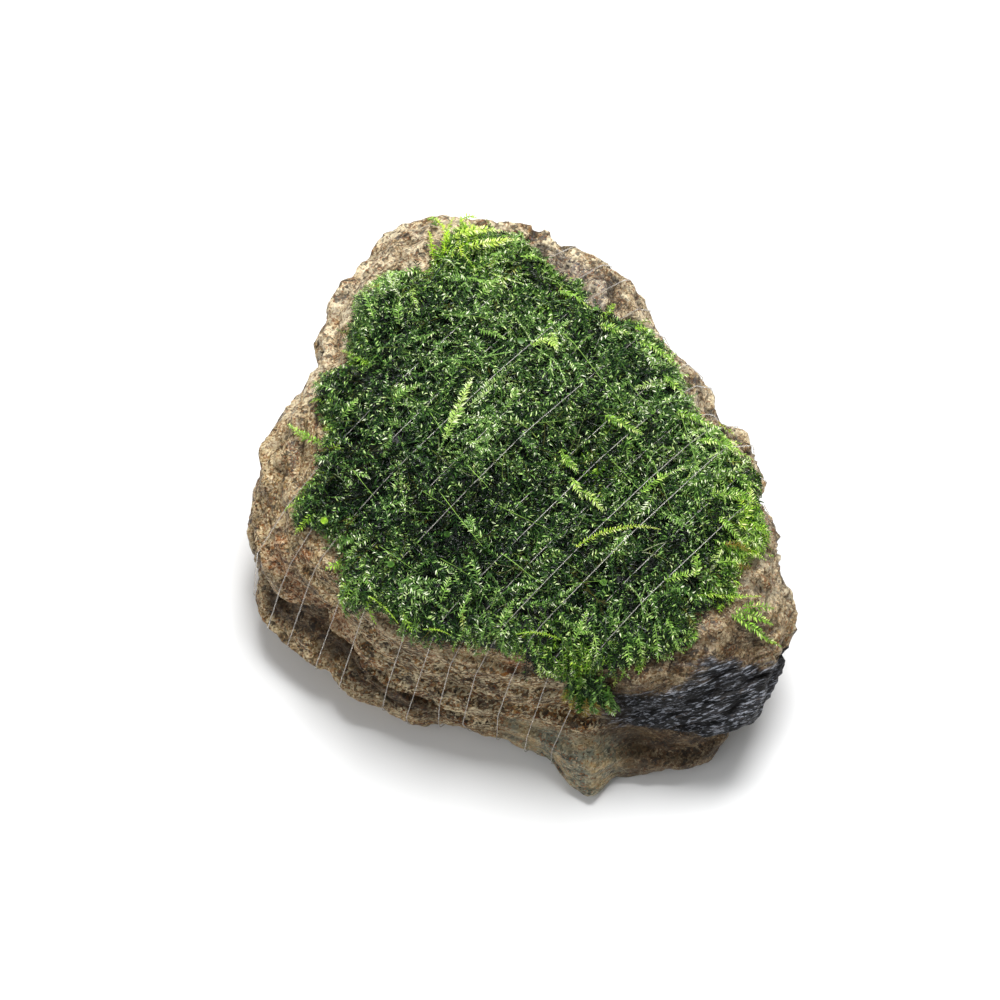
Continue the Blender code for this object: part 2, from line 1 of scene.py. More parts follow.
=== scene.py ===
import bpy
import numpy as np
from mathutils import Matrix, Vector


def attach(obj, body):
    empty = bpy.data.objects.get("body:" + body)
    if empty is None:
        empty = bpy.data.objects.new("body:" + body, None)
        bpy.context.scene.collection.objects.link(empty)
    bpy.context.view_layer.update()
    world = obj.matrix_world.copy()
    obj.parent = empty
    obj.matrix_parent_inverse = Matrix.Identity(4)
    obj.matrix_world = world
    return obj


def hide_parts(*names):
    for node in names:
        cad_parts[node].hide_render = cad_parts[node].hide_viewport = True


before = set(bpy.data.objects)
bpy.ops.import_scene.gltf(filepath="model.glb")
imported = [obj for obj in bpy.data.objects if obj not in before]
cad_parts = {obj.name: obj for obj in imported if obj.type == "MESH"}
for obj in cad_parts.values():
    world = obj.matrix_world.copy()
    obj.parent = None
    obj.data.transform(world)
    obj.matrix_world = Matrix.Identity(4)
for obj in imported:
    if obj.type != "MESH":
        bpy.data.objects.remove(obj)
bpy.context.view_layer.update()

mm = 0.001
print("frame loaded:", ", ".join(sorted(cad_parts)))

# The stone's form: azimuth in degrees from +X, radius and height in millimetres
stoneForm = {
    "rim": [(0, 36.9, 26.0), (15, 31.9, 26.6), (30, 34.5, 27.0), (45, 33.6, 27.2), (56, 34.6, 27.5),
           (66, 39.0, 27.6), (75, 41.6, 27.6), (90, 45.4, 27.6), (97, 47.9, 27.4), (105, 50.3, 27.4),
           (115, 50.7, 27.2), (124, 45.9, 27.4), (135, 43.8, 27.2), (143, 40.8, 27.0),
           (150, 37.9, 27.0), (165, 37.6, 26.4), (180, 38.7, 25.8), (195, 40.9, 25.2),
           (210, 39.8, 25.0), (225, 38.8, 25.0), (255, 38.2, 25.0), (270, 38.2, 25.0),
           (285, 41.0, 24.0), (295, 45.5, 23.4), (305, 47.8, 23.6), (315, 49.9, 22.8),
           (323, 52.1, 21.4), (331, 46.6, 23.2), (345, 40.5, 25.4)],
    "girth": [(0, 40.7, 17.0), (8, 40.1, 18.0), (15, 35.4, 19.0), (30, 38.0, 20.0), (45, 36.3, 20.0),
             (54, 38.4, 21.0), (64, 42.0, 21.4), (75, 45.3, 22.0), (88, 47.6, 22.0), (97, 51.0, 22.0),
             (106, 53.2, 22.0), (115, 54.3, 22.0), (125, 49.8, 22.0), (135, 48.2, 22.0),
             (143, 45.4, 21.0), (150, 41.3, 20.0), (157, 41.5, 19.6), (165, 42.5, 19.0),
             (180, 45.3, 17.0), (195, 46.8, 14.5), (205, 47.3, 14.0), (212, 44.7, 14.0),
             (221, 41.6, 13.6), (232, 42.2, 12.5), (245, 41.2, 12.0), (270, 42.4, 13.0),
             (280, 43.0, 13.0), (289, 46.2, 13.0), (298, 52.4, 12.6), (305, 56.6, 12.6),
             (313, 58.6, 13.2), (322, 56.9, 15.0), (330, 53.9, 17.0), (338, 49.0, 17.0),
             (346, 45.1, 17.0), (353, 41.2, 17.0)],
    "lower": [(0, 39.6, 8.0), (30, 36.4, 8.0), (60, 38.0, 8.0), (90, 44.7, 8.0), (108, 48.1, 8.0),
             (120, 46.7, 8.0), (135, 43.8, 8.0), (150, 39.9, 8.0), (165, 41.3, 8.0), (180, 44.4, 8.0),
             (195, 46.6, 7.0), (204, 50.4, 7.0), (212, 49.1, 7.0), (225, 44.8, 7.0), (240, 45.1, 7.0),
             (253, 42.9, 6.0), (263, 43.3, 5.0), (271, 45.2, 4.4), (277, 47.1, 3.4), (283, 54.9, 2.6),
             (289, 52.6, 2.6), (296, 53.9, 3.0), (304, 57.2, 3.6), (309, 56.1, 4.0), (315, 51.0, 6.0),
             (330, 45.7, 8.0), (345, 43.1, 8.0)],
    "crownHeight": 31.0, "archHeight": 2.6, "bandFootHeight": 1.9,
    "backLand": (-31.0, -25.0), "frontLand": (37.5, 42.0), "threadAzimuth": 47.0,
    "topRow": 0.18, "rimRow": 0.36, "girthRow": 0.56, "lowerRow": 0.74, "footRow": 0.84,
}

# The moss: its outline as azimuth in degrees and radius in millimetres, and its thickness
mossForm = {
    "outline": [(0, 36.6), (8, 32.6), (15, 30.6), (30, 31.2), (45, 32.6), (52, 31.6), (61, 30.0),
                (67, 30.6), (73, 35.4), (77, 34.8), (84, 38.6), (90, 43.4), (97, 44.8),
                (104, 47.0), (109, 43.8), (115, 38.6), (120, 41.2), (127, 42.6), (135, 40.8),
                (143, 37.0), (150, 34.2), (157, 37.4), (165, 36.6), (173, 32.6), (180, 34.0),
                (190, 35.8), (198, 40.8), (205, 36.4), (212, 35.2), (220, 38.4), (224, 40.0),
                (233, 37.6), (243, 38.8), (255, 37.4), (268, 37.8), (277, 40.4), (285, 41.4),
                (293, 43.6), (301, 44.2), (308, 46.0), (314, 42.0), (321, 45.0), (330, 42.5),
                (338, 44.6), (346, 41.0), (355, 39.4)],
    "gap": 0.7, "thickness": 3.6, "edgeThickness": 1.3,
}


# Slope at each inner point is the harmonic mean of its two neighbours, and nought at a peak
def slopesBetween(values, steps):
    slope = np.diff(values, axis=0) / steps
    sameWay = slope[1:] * slope[:-1] > 0
    total = np.where(sameWay, slope[1:] + slope[:-1], 1.0)
    return slope, np.where(sameWay, 2.0 * slope[1:] * slope[:-1] / total, 0.0)


# Cubic from start to end with the given slopes per whole step, t from 0 to 1
def hermite(t, start, end, startSlope, endSlope):
    return (start * (2 * t**3 - 3 * t**2 + 1) + startSlope * (t**3 - 2 * t**2 + t)
            + end * (3 * t**2 - 2 * t**3) + endSlope * (t**3 - t**2))


# One column of a closed outline at any azimuth, by a smooth closed curve
def around(outline, azimuth, column):
    table = np.array(outline, float)
    angles = np.concatenate([table[-2:, 0] - 360, table[:, 0], table[:2, 0] + 360])
    values = np.concatenate([table[-2:, column], table[:, column], table[:2, column]])
    steps = np.diff(angles)
    slopes = np.concatenate([[0.0], slopesBetween(values, steps)[1], [0.0]])
    turned = np.mod(azimuth, 360.0)
    index = np.searchsorted(angles, turned, side="right") - 1
    t = (turned - angles[index]) / steps[index]
    return hermite(t, values[index], values[index + 1],
                   slopes[index] * steps[index], slopes[index + 1] * steps[index])


# S-shaped step from 0 at low to 1 at high: 3t2 - 2t3
def smoothStep(value, low, high):
    t = np.clip((value - low) / (high - low), 0.0, 1.0)
    return t * t * (3.0 - 2.0 * t)


# Smooth noise from -1 to 1: hashed values at whole points, blended between them
def latticeNoise(points, seed):
    points = points + 0.37 * seed
    cell = np.floor(points).astype(np.int64)
    part = points - cell
    part = part * part * (3.0 - 2.0 * part)
    total = np.zeros(points.shape[:-1])
    for corner in np.ndindex(2, 2, 2):
        place = cell + np.array(corner)
        mixed = place[..., 0] * 73856093 ^ place[..., 1] * 19349663 ^ place[..., 2] * 83492791
        mixed = (mixed ^ seed * 2654435761) & 0x7FFFFFFF
        mixed = ((mixed ^ mixed >> 13) * 1274126177) & 0x7FFFFFFF
        value = (mixed >> 8 & 0xFFFF) / 32767.5 - 1.0
        total += np.prod(np.where(np.array(corner) == 1, part, 1.0 - part), axis=-1) * value
    return total


# Distance across the thread's runs: x cos(a - 90) + y sin(a - 90)
def acrossThread(x, y):
    turned = np.radians(stoneForm["threadAzimuth"] - 90.0)
    return x * np.cos(turned) + y * np.sin(turned)


# 1 under the wound band and 0 on the two flats that the stone rests on
def betweenLands(across):
    return smoothStep(across, *stoneForm["backLand"]) * (1 - smoothStep(across, *stoneForm["frontLand"]))


# Radius and height of the plain stone: crown, rim, girth, lower edge and foot joined by one curve
def stoneSection(azimuth, row):
    f = stoneForm
    rimRadius, rimHeight = around(f["rim"], azimuth, 1), around(f["rim"], azimuth, 2)
    girthRadius, girthHeight = around(f["girth"], azimuth, 1), around(f["girth"], azimuth, 2)
    lowerRadius, lowerHeight = around(f["lower"], azimuth, 1), around(f["lower"], azimuth, 2)
    zero = np.zeros_like(rimRadius)
    footRadius = 0.9 * lowerRadius - 1.0
    angle = np.radians(azimuth)
    across = acrossThread(footRadius * np.cos(angle), footRadius * np.sin(angle))
    footHeight = f["bandFootHeight"] * betweenLands(across)
    rows = np.array([0.0, f["topRow"], f["rimRow"], f["girthRow"], f["lowerRow"], f["footRow"], 1.0])
    radius = np.stack([zero, 0.55 * rimRadius, rimRadius, girthRadius, lowerRadius, footRadius, zero])
    height = np.stack([zero + f["crownHeight"], 0.65 * f["crownHeight"] + 0.35 * rimHeight, rimHeight,
                       girthHeight, lowerHeight, footHeight, zero + f["archHeight"]])
    steps = np.diff(rows)
    index = np.clip(np.searchsorted(rows, row, side="right") - 1, 0, len(steps) - 1)
    t = (row - rows[index]) / steps[index]
    result = []
    for table in (radius, height):
        slope, inner = slopesBetween(table, steps.reshape((-1,) + (1,) * zero.ndim))
        slopes = np.concatenate([slope[:1], inner, slope[-1:]])
        pick = lambda source, at: np.take_along_axis(source, at[None], 0)[0]
        result.append(hermite(t, pick(table, index), pick(table, index + 1),
                              pick(slopes, index) * steps[index], pick(slopes, index + 1) * steps[index]))
    return result


# Plain stone in millimetres: (r cos a, r sin a, height), the underside arched between its flats
def plainStone(azimuth, row):
    f = stoneForm
    radius, height = stoneSection(azimuth, row)
    x, y = radius * np.cos(np.radians(azimuth)), radius * np.sin(np.radians(azimuth))
    inward = np.clip((row - f["footRow"]) / (1.0 - f["footRow"]), 0.0, 1.0)
    arch = f["bandFootHeight"] + (f["archHeight"] - f["bandFootHeight"]) * inward
    return np.stack([x, y, np.where(row > f["footRow"], arch * betweenLands(acrossThread(x, y)), height)], axis=-1)


# Unit normal from two small steps: (down the section) x (round the stone)
def outward(azimuth, row):
    step = 0.01
    row = np.clip(row, step, 1.0 - step)
    along = plainStone(azimuth + 0.5, row) - plainStone(azimuth - 0.5, row)
    down = plainStone(azimuth, row + step) - plainStone(azimuth, row - step)
    normal = np.cross(down, along)
    return normal / np.maximum(np.linalg.norm(normal, axis=-1, keepdims=True), 1e-9)


# 1 inside a range of azimuths and 0 outside, with soft ends
def span(azimuth, start, end, soft=6.0):
    middle, half = 0.5 * (start + end), 0.5 * (end - start)
    apart = np.abs(np.mod(azimuth - middle + 180.0, 360.0) - 180.0)
    return 1.0 - smoothStep(apart, half - 0.5 * soft, half + 0.5 * soft)


def fraction(value):
    return value - np.floor(value)


# Steps with short risers, like broken plates of schist: whole part + steep S in the fraction
def plates(value):
    return np.floor(value) + smoothStep(fraction(value), 0.36, 0.64)


# Sharp creases: 1 - 2 |noise|
def creases(points, seed):
    return 1.0 - 2.0 * np.abs(latticeNoise(points, seed))


# The big forms of the bare rock, in millimetres, shared with the CAD stone
reliefForm = {
    "lumps": [(12.0, 0.7, 3), (6.0, 0.6, 4), (4.5, 0.35, 23)],  # size, height, seed
    "waves": [(17.0, 1.6, 5), (7.0, 0.6, 6)],
    "plateSize": 9.0, "plateFlatness": 2.2, "plateSteps": 3.2, "plateHeight": 0.42,
    "layerPitch": 4.6, "layerHeight": 1.2, "layerDip": 0.10, "layerTread": 0.75,
    "cliffSpan": (288.0, 330.0, 8.0), "ridgePitch": 4.2, "ridgeHeight": 0.55, "ridgeRise": 0.34,
    "blockDepth": 1.4, "lipSpan": (190.0, 252.0, 12.0), "lipDepth": 1.7, "browHeight": 0.55,
    # where the upper slab ends over the dark layer: azimuth and row
    "lip": [(190, 0.50), (199, 0.49), (204, 0.56), (210, 0.54), (217, 0.515), (220, 0.58),
            (228, 0.54), (231, 0.58), (238, 0.59), (246, 0.60), (256, 0.62), (300, 0.62)],
}


# Sum of noises of several sizes: height * noise(place / size)
def layeredNoise(place, table):
    return sum(height * latticeNoise(place / size, seed) for size, height, seed in table)


# (lumps + plates) + saw-shaped ledges + the cliff's ridges + brow - lip - block, times where it is bare
def stoneRelief(azimuth, row):
    f = reliefForm
    place = plainStone(azimuth, row)
    radius = np.hypot(place[..., 0], place[..., 1])
    height = place[..., 2]
    bare = np.maximum(smoothStep(radius - around(mossForm["outline"], azimuth, 1), -0.5, 3.0),
                      smoothStep(row, 0.53, 0.60))
    bare = bare * (1.0 - smoothStep(row, 0.78, 0.83))
    wave = layeredNoise(place, f["waves"])
    saw = fraction((height + f["layerDip"] * place[..., 0] + wave) / f["layerPitch"])
    ledges = np.minimum(saw / f["layerTread"], (1.0 - saw) / (1.0 - f["layerTread"])) - 0.5
    flattened = place * np.array([1.0, 1.0, f["plateFlatness"]]) / f["plateSize"]
    broken = f["plateHeight"] * plates(f["plateSteps"] * latticeNoise(flattened, 35))
    front = span(azimuth, *f["cliffSpan"])
    cliff = front * smoothStep(height, 11.0, 13.5) * smoothStep(row, 0.36, 0.42)
    rising = (height - f["ridgeRise"] * (azimuth - 300.0) + 0.7 * wave) / f["ridgePitch"]
    ridges = 1.0 - 2.0 * np.abs(2.0 * fraction(rising) - 1.0)
    block = front * smoothStep(row, 0.57, 0.60) * (1.0 - smoothStep(row, 0.66, 0.72))
    lip = np.interp(np.mod(azimuth, 360.0), *np.array(f["lip"]).T)
    dropped = smoothStep(row - lip, 0.0, 0.018)
    left = span(azimuth, *f["lipSpan"])
    under = left * dropped * (1.0 - smoothStep(row - lip, 0.09, 0.15))
    brow = left * smoothStep(row - lip, -0.07, -0.01) * (1.0 - dropped)
    relief = (layeredNoise(place, f["lumps"]) + broken) * (1.0 - 0.5 * cliff)
    relief = relief + f["layerHeight"] * ledges * (1.0 - cliff) + f["ridgeHeight"] * ridges * cliff
    relief = relief + f["browHeight"] * brow - f["lipDepth"] * under - f["blockDepth"] * block
    return relief * bare, bare, cliff, wave, under


# Moss over the stone: a dome that rounds off at the edge, with lumps
def mossLift(azimuth, row, share):
    place = plainStone(azimuth, row)
    lumps = 0.9 * latticeNoise(place / 7.0, 11) + 0.4 * latticeNoise(place / 3.5, 12)
    dome = np.sqrt(np.clip(1.0 - share**7, 0.0, 1.0))
    f = mossForm
    return f["gap"] + f["edgeThickness"] + (f["thickness"] - f["edgeThickness"] + lumps) * dome


# Stone surface in millimetres: plain form + normal * (relief + lift)
def stoneSurface(azimuth, row, lift=0.0):
    return plainStone(azimuth, row) + outward(azimuth, row) * (stoneRelief(azimuth, row)[0] + lift)[..., None]


# Mesh from whole arrays: points in millimetres, triangles as index rows, and one number per point
def newPiece(name, points, faces, values=None, smooth=True):
    mesh = bpy.data.meshes.new(name)
    mesh.vertices.add(len(points))
    mesh.vertices.foreach_set("co", (points * mm).astype(np.float32).ravel())
    mesh.loops.add(faces.size)
    mesh.loops.foreach_set("vertex_index", faces.astype(np.int32).ravel())
    mesh.polygons.add(len(faces))
    mesh.polygons.foreach_set("loop_start", np.arange(0, faces.size, 3, dtype=np.int32))
    mesh.polygons.foreach_set("use_smooth", np.full(len(faces), smooth))
    for key, value in (values or {}).items():
        mesh.attributes.new(key, "FLOAT", "POINT").data.foreach_set("value", value.astype(np.float32).ravel())
    mesh.update(calc_edges=True)
    mesh.validate()
    piece = bpy.data.objects.new(name, mesh)
    bpy.context.scene.collection.objects.link(piece)
    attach(piece, "root")
    return piece


# Triangles of rings that run down a section, closed by one point at each end
def ringFaces(rings, count):
    i = np.arange(count)
    j = (i + 1) % count
    k = 1 + count * np.arange(rings - 1)[:, None]
    first = np.stack([k + i, k + count + i, k + count + j], axis=-1).reshape(-1, 3)
    second = np.stack([k + i, k + count + j, k + j], axis=-1).reshape(-1, 3)
    tail = 1 + count * (rings - 1)
    crown = np.stack([0 * i, 1 + i, 1 + j], axis=-1)
    base = np.stack([tail + j, tail + i, 0 * i + tail + count], axis=-1)
    return np.concatenate([crown, first, second, base])


# Fibres of the dark cliff: the way they run and the way across them, as unit vectors
fibreForm = {"along": (0.69, 0.574, -0.44), "across": (-0.266, 0.766, 0.585), "into": (-0.673, 0.287, -0.681)}
stoneDetail = {
    "columns": 720, "flankRows": 122,
    "grain": 0.20, "grit": 0.14,          # height of the 2.4 mm and 1.1 mm bumps, in millimetres
    "crease": 0.20, "chip": 0.16,         # sharp creases, and steps between small chips
    "layerDepth": 0.36, "ridgeDepth": 0.55,  # fine layers of the front band, fibres of the dark cliff
    "pitDepth": 0.85, "crackDepth": 0.75, "ledge": 0.55,   # ledge: layers that stand out on the far side
    # azimuth and row of the upper edge of the black part of the cliff
    "cliffTop": [(290, 0.43), (298, 0.40), (304, 0.362), (310, 0.350), (314, 0.375), (318, 0.42), (322, 0.47),
                 (326, 0.515), (330, 0.55), (334, 0.60)],
    # cracks: azimuth and row of both ends, and half width in millimetres
    "cracks": [(166.2, 0.336, 179.5, 0.309, 0.28), (181.0, 0.436, 189.8, 0.316, 0.34),
               (206.0, 0.455, 211.0, 0.385, 0.20), (222.0, 0.40, 233.0, 0.50, 0.20)],
    # rust spots: azimuth, row and radius in millimetres
    "rust": [(227, 0.55, 2.6), (221, 0.52, 2.2), (210, 0.515, 2.0), (222, 0.35, 1.6), (206, 0.40, 2.0),
             (233, 0.56, 2.4), (268, 0.40, 2.2), (284, 0.60, 1.2), (196, 0.30, 1.2), (244, 0.60, 2.0),
             (203, 0.46, 3.2), (208, 0.49, 2.6), (199, 0.44, 2.4), (214, 0.50, 2.2)],
}


# Distance in millimetres from points to the straight line between two surface places
def lineDistance(place, azimuthA, rowA, azimuthB, rowB):
    a = plainStone(np.array([azimuthA]), np.array([rowA]))[0]
    b = plainStone(np.array([azimuthB]), np.array([rowB]))[0]
    way = b - a
    t = np.clip(((place - a) @ way) / (way @ way), 0.0, 1.0)
    return np.linalg.norm(place - a - t[..., None] * way, axis=-1)


# Triangle wave from -1 to 1
def ridge(value):
    return 1.0 - 4.0 * np.abs(value - np.floor(value) - 0.5)


def fineRelief(azimuth, row):
    d = stoneDetail
    big, bare, cliff, wave, under = stoneRelief(azimuth, row)
    place = plainStone(azimuth, row)
    x, y, z = place[..., 0], place[..., 1], place[..., 2]
    band = span(azimuth, 222, 292, 10) * smoothStep(row, 0.36, 0.42) * (1 - smoothStep(row, 0.70, 0.78))
    nub = span(azimuth, 266, 293, 6) * smoothStep(row, 0.595, 0.63) * (1 - smoothStep(row, 0.80, 0.86))
    bulge = span(azimuth, 318, 350, 8) * smoothStep(row, 0.28, 0.33) * (1 - smoothStep(row, 0.62, 0.70))
    pitted = span(azimuth, 38, 98, 14) * (1 - smoothStep(row, 0.44, 0.52)) + 0.7 * span(azimuth, -12, 30, 8)
    pitted = np.maximum(pitted, 0.6 * bulge)
    calm = 1.0 - 0.65 * nub
    rough = (1 - 0.7 * cliff) * calm
    grainA, grainB = latticeNoise(place / 2.4, 21), latticeNoise(place / 1.15, 22)
    sharp = creases(place / 2.9, 33) + 0.5 * creases(place / 1.3, 34)
    relief = (d["grain"] * grainA + d["grit"] * grainB + d["crease"] * (sharp - 0.6)) * rough
    relief += d["chip"] * plates(2.2 * latticeNoise(place * np.array([1.0, 1.0, 1.6]) / 3.6, 40)) * rough
    warp = 1.0 * latticeNoise(place / 5.0, 24) + 0.35 * latticeNoise(place / 1.8, 25)
    way = np.radians(azimuth) * 42.0
    level = z + 0.12 * x + 0.6 * wave + 0.55 * warp
    layers = (creases(np.stack([way / 5.0, level / 1.1, 0 * z], axis=-1), 36)
              + 0.6 * creases(np.stack([way / 2.6, level / 0.55, 0 * z], axis=-1), 37) - 0.8)
    relief += d["layerDepth"] * layers * np.maximum(band, 0.4 * (1 - bulge)) * (1 - nub)
    folds = ridge((z + 0.5 * y + 1.9 * warp + 0.8 * wave) / 1.15)
    relief += 0.36 * folds * bulge * (1 - cliff)
    fibre = place @ np.array(fibreForm["across"]) + 0.35 * warp
    length = place @ np.array(fibreForm["along"])
    strands = (creases(np.stack([length / 7.0, fibre / 1.5, 0 * z], axis=-1), 38)
               + 0.7 * creases(np.stack([length / 3.2, fibre / 0.75, 0 * z], axis=-1), 39) - 0.8)
    top = np.interp(azimuth, *np.array(d["cliffTop"]).T)
    black = span(azimuth, 289, 332, 9) * smoothStep(row - top + 0.022 * strands, 0.0, 0.035)
    black = black * smoothStep(z + 1.2 * strands, 10.0, 12.4)
    relief += d["ridgeDepth"] * strands * np.maximum(black, 0.5 * cliff)
    pits = smoothStep(latticeNoise(place / 1.5, 28) + 0.5 * latticeNoise(place / 3.4, 29), 0.25, 0.6)
    pits = np.maximum(pits, 0.9 * smoothStep(latticeNoise(place / 0.85, 30) + 0.4 * latticeNoise(place / 2.6, 35), 0.30, 0.55))
    relief -= d["pitDepth"] * pits * pitted
    ledges = fraction(0.30 * z + 0.8 * latticeNoise(place / 9.0, 41) + 0.2 * latticeNoise(place / 3.0, 42))
    relief += d["ledge"] * (ledges - 0.5) * (1 - smoothStep(ledges, 0.86, 1.0)) * span(azimuth, -20, 205, 25)
    crack = np.zeros_like(z)
    for azimuthA, rowA, azimuthB, rowB, half in d["cracks"]:
        apart = lineDistance(place, azimuthA, rowA, azimuthB, rowB) + 0.45 * np.abs(latticeNoise(place / 1.3, 31))
        crack = np.maximum(crack, 1 - smoothStep(apart, 0.4 * half, 2.0 * half))
    relief -= d["crackDepth"] * crack
    # Painted shade in the hollows: the cavity shade mask darkens pits, cracks and the troughs of layers, fibres and
    # folds
    low = np.clip(0.8 - sharp - 0.8 * grainB, 0, 1) * 0.5 * rough
    cavityShade = np.clip(low + 1.0 * pits * pitted + crack + 0.55 * np.clip(-layers, 0, 1) * band * (1 - nub)
                     + 0.7 * np.clip(-strands, 0, 1) * black + 0.4 * np.clip(-folds, 0, 1) * bulge, 0, 1)
    rust = np.zeros_like(z)
    for azimuthA, rowA, radius in d["rust"]:
        apart = lineDistance(place, azimuthA, rowA, azimuthA + 0.1, rowA) + 1.3 * latticeNoise(place / 1.9, 32)
        rust = np.maximum(rust, 1 - smoothStep(apart, 0.3 * radius, 1.3 * radius))
    # Painted shade under the lip, on the front wall, on the block under the cliff and in the cracks, as the shade mask
    wall = span(azimuth, 288, 322, 8) * smoothStep(row, 0.295, 0.33) * (1 - smoothStep(row, 0.42, 0.47))
    wall = np.maximum(wall, span(azimuth, 287, 302, 6) * smoothStep(row, 0.38, 0.42) * (1 - smoothStep(row, 0.60, 0.64)))
    blockShade = span(azimuth, 289, 331, 6) * smoothStep(row, 0.55, 0.60)
    shade = np.clip(1.0 * under + 0.8 * wall + 1.0 * blockShade + 0.45 * crack, 0, 1)
    tan = span(azimuth, -22, 165, 18) * (1 - smoothStep(row, 0.50, 0.62)) + 0.8 * bulge * (1 - cliff)
    grey = span(azimuth, 60, 84, 10) * (1 - smoothStep(row, 0.34, 0.37)) + span(azimuth, 340, 356, 8) * 0.7
    values = {"cavityShade": cavityShade, "cliff": black, "nub": nub, "rust": rust,
              "shade": shade, "tan": np.clip(tan, 0, 1), "grey": np.clip(grey, 0, 1), "band": np.maximum(band * (1 - nub), 0.35 * bulge)}
    return big + relief * bare * (1 - smoothStep(row, 0.80, 0.84)), values


def buildStone():
    d = stoneDetail
    # azimuths are closer together on the near side
    turns = np.linspace(0.0, 1.0, d["columns"], endpoint=False)
    azimuths = np.mod(360.0 * turns + 28.0 * np.sin(2 * np.pi * turns), 360.0)
    azimuths = np.sort(azimuths)
    rows = np.concatenate([[0.06, 0.13, 0.19, 0.235, 0.27], np.linspace(0.295, 0.84, d["flankRows"]),
                           [0.852, 0.868, 0.89, 0.92, 0.955]])
    azimuth, row = np.meshgrid(azimuths, rows)
    relief, values = fineRelief(azimuth, row)
    points = plainStone(azimuth, row) + outward(azimuth, row) * relief[..., None]
    points[..., 2] = np.maximum(points[..., 2], 0.0)
    ends = np.array([[0.0, 0.0, stoneForm["crownHeight"]], [0.0, 0.0, stoneForm["archHeight"]]])
    allPoints = np.concatenate([ends[:1], points.reshape(-1, 3), ends[1:]])
    values = {key: np.concatenate([[0.0], value.ravel(), [0.0]]) for key, value in values.items()}
    return newPiece("stoneBody", allPoints, ringFaces(len(rows), len(azimuths)), values)


# The moss is laid out on a flat plan: distance from the middle is the length of way down the stone
planStep = {"azimuth": 2.0, "reach": 0.5, "longest": 66.0}
planAzimuths = np.arange(0.0, 360.0, planStep["azimuth"])
planRows = np.linspace(0.0, 0.80, 240)
planReach = np.arange(0.0, planStep["longest"], planStep["reach"])


# For each azimuth: way down the section, then the row at every half millimetre of it
def makePlan():
    azimuth, row = np.meshgrid(planAzimuths, planRows, indexing="ij")
    section = np.stack(stoneSection(azimuth, row), axis=-1)
    steps = np.linalg.norm(np.diff(section, axis=1), axis=-1)
    ways = np.concatenate([np.zeros((len(planAzimuths), 1)), np.cumsum(steps, axis=1)], axis=1)
    rowTable = np.stack([np.interp(planReach, way, planRows) for way in ways])
    edgeRadius = around(mossForm["outline"], planAzimuths, 1)
    radius = section[..., 0]
    edgeRow = np.array([np.interp(e, r[:170], planRows[:170]) for e, r in zip(edgeRadius, radius)])
    edgeReach = np.array([np.interp(e, planRows, way) for e, way in zip(edgeRow, ways)])
    return ways, rowTable, edgeRow, edgeReach


planWays, planRowTable, planEdgeRow, planEdgeReach = makePlan()


# Value of a closed per-azimuth list at any azimuth, straight between its entries
def onCircle(values, azimuth):
    return np.interp(np.mod(azimuth, 360.0), np.append(planAzimuths, 360.0), np.append(values, values[0]))


# Height of the dark bed over the stone: a share of the moss, ending short of the outline
bedForm = {"share": 0.52, "end": 0.95, "lump": 0.55}


def bedLift(azimuth, row):
    edge = onCircle(planEdgeRow, azimuth)
    share = row / (bedForm["end"] * edge)
    inside = np.clip(share, 0.0, 1.0)
    place = plainStone(azimuth, row)
    lift = bedForm["share"] * mossLift(azimuth, np.minimum(row, edge), inside)
    lift = lift + bedForm["lump"] * latticeNoise(place / 2.2, 41) * (1 - inside**6)
    return lift * (1 - smoothStep(share, 0.97, 1.12))


def makeGround():
    azimuth = planAzimuths[:, None] + 0.0 * planRowTable
    lift = bedLift(azimuth, planRowTable)
    points = stoneSurface(azimuth, planRowTable, lift)
    return points, outward(azimuth, planRowTable)


groundPoints, groundNormals = makeGround()
print("plan of the surface laid out:", groundPoints.shape)


# Table entry at plan (x, y): straight between the four entries around it
def onGround(table, x, y):
    a = np.mod(np.degrees(np.arctan2(y, x)), 360.0) / planStep["azimuth"]
    r = np.clip(np.hypot(x, y) / planStep["reach"], 0, len(planReach) - 1.001)
    a0, r0 = np.floor(a).astype(int), np.floor(r).astype(int)
    fa, fr = (a - a0)[..., None], (r - r0)[..., None]
    a0, a1 = a0 % len(planAzimuths), (a0 + 1) % len(planAzimuths)
    return ((table[a0, r0] * (1 - fr) + table[a0, r0 + 1] * fr) * (1 - fa)
            + (table[a1, r0] * (1 - fr) + table[a1, r0 + 1] * fr) * fa)


def unit(vectors):
    return vectors / np.maximum(np.linalg.norm(vectors, axis=-1, keepdims=True), 1e-9)


# Plan position of a surface place: way down the section, turned to its azimuth
def planOf(azimuth, row):
    azimuth, row = np.asarray(azimuth, float), np.asarray(row, float)
    at = np.mod(azimuth, 360.0) / planStep["azimuth"]
    index = np.round(at).astype(int) % len(planAzimuths)
    reach = np.array([np.interp(r, planRows, planWays[i]) for r, i in zip(np.atleast_1d(row), np.atleast_1d(index))])
    reach = reach.reshape(row.shape)
    return reach * np.cos(np.radians(azimuth)), reach * np.sin(np.radians(azimuth))


leafForm = {
    "spacing": 0.41,     # along the stem, one leaf on each side, in millimetres
    "length": 1.00, "width": 0.30,       # width is a share of the length
    "baseAngle": 64.0, "tipAngle": 30.0,  # from the stem, in degrees
    "fold": 0.12, "droop": 0.16, "twist": 0.42,
    "paintedLeafGlint": 0.72,       # how far the brightest few leaves stand out in tone
    # the brightest few leaves are painted glints: pale tone standing in for light caught on wet leaves
    "stem": 0.11, "stemTip": 0.05,
    "mostTriangles": 190000,  # in one piece of fronds
}
stations = 7


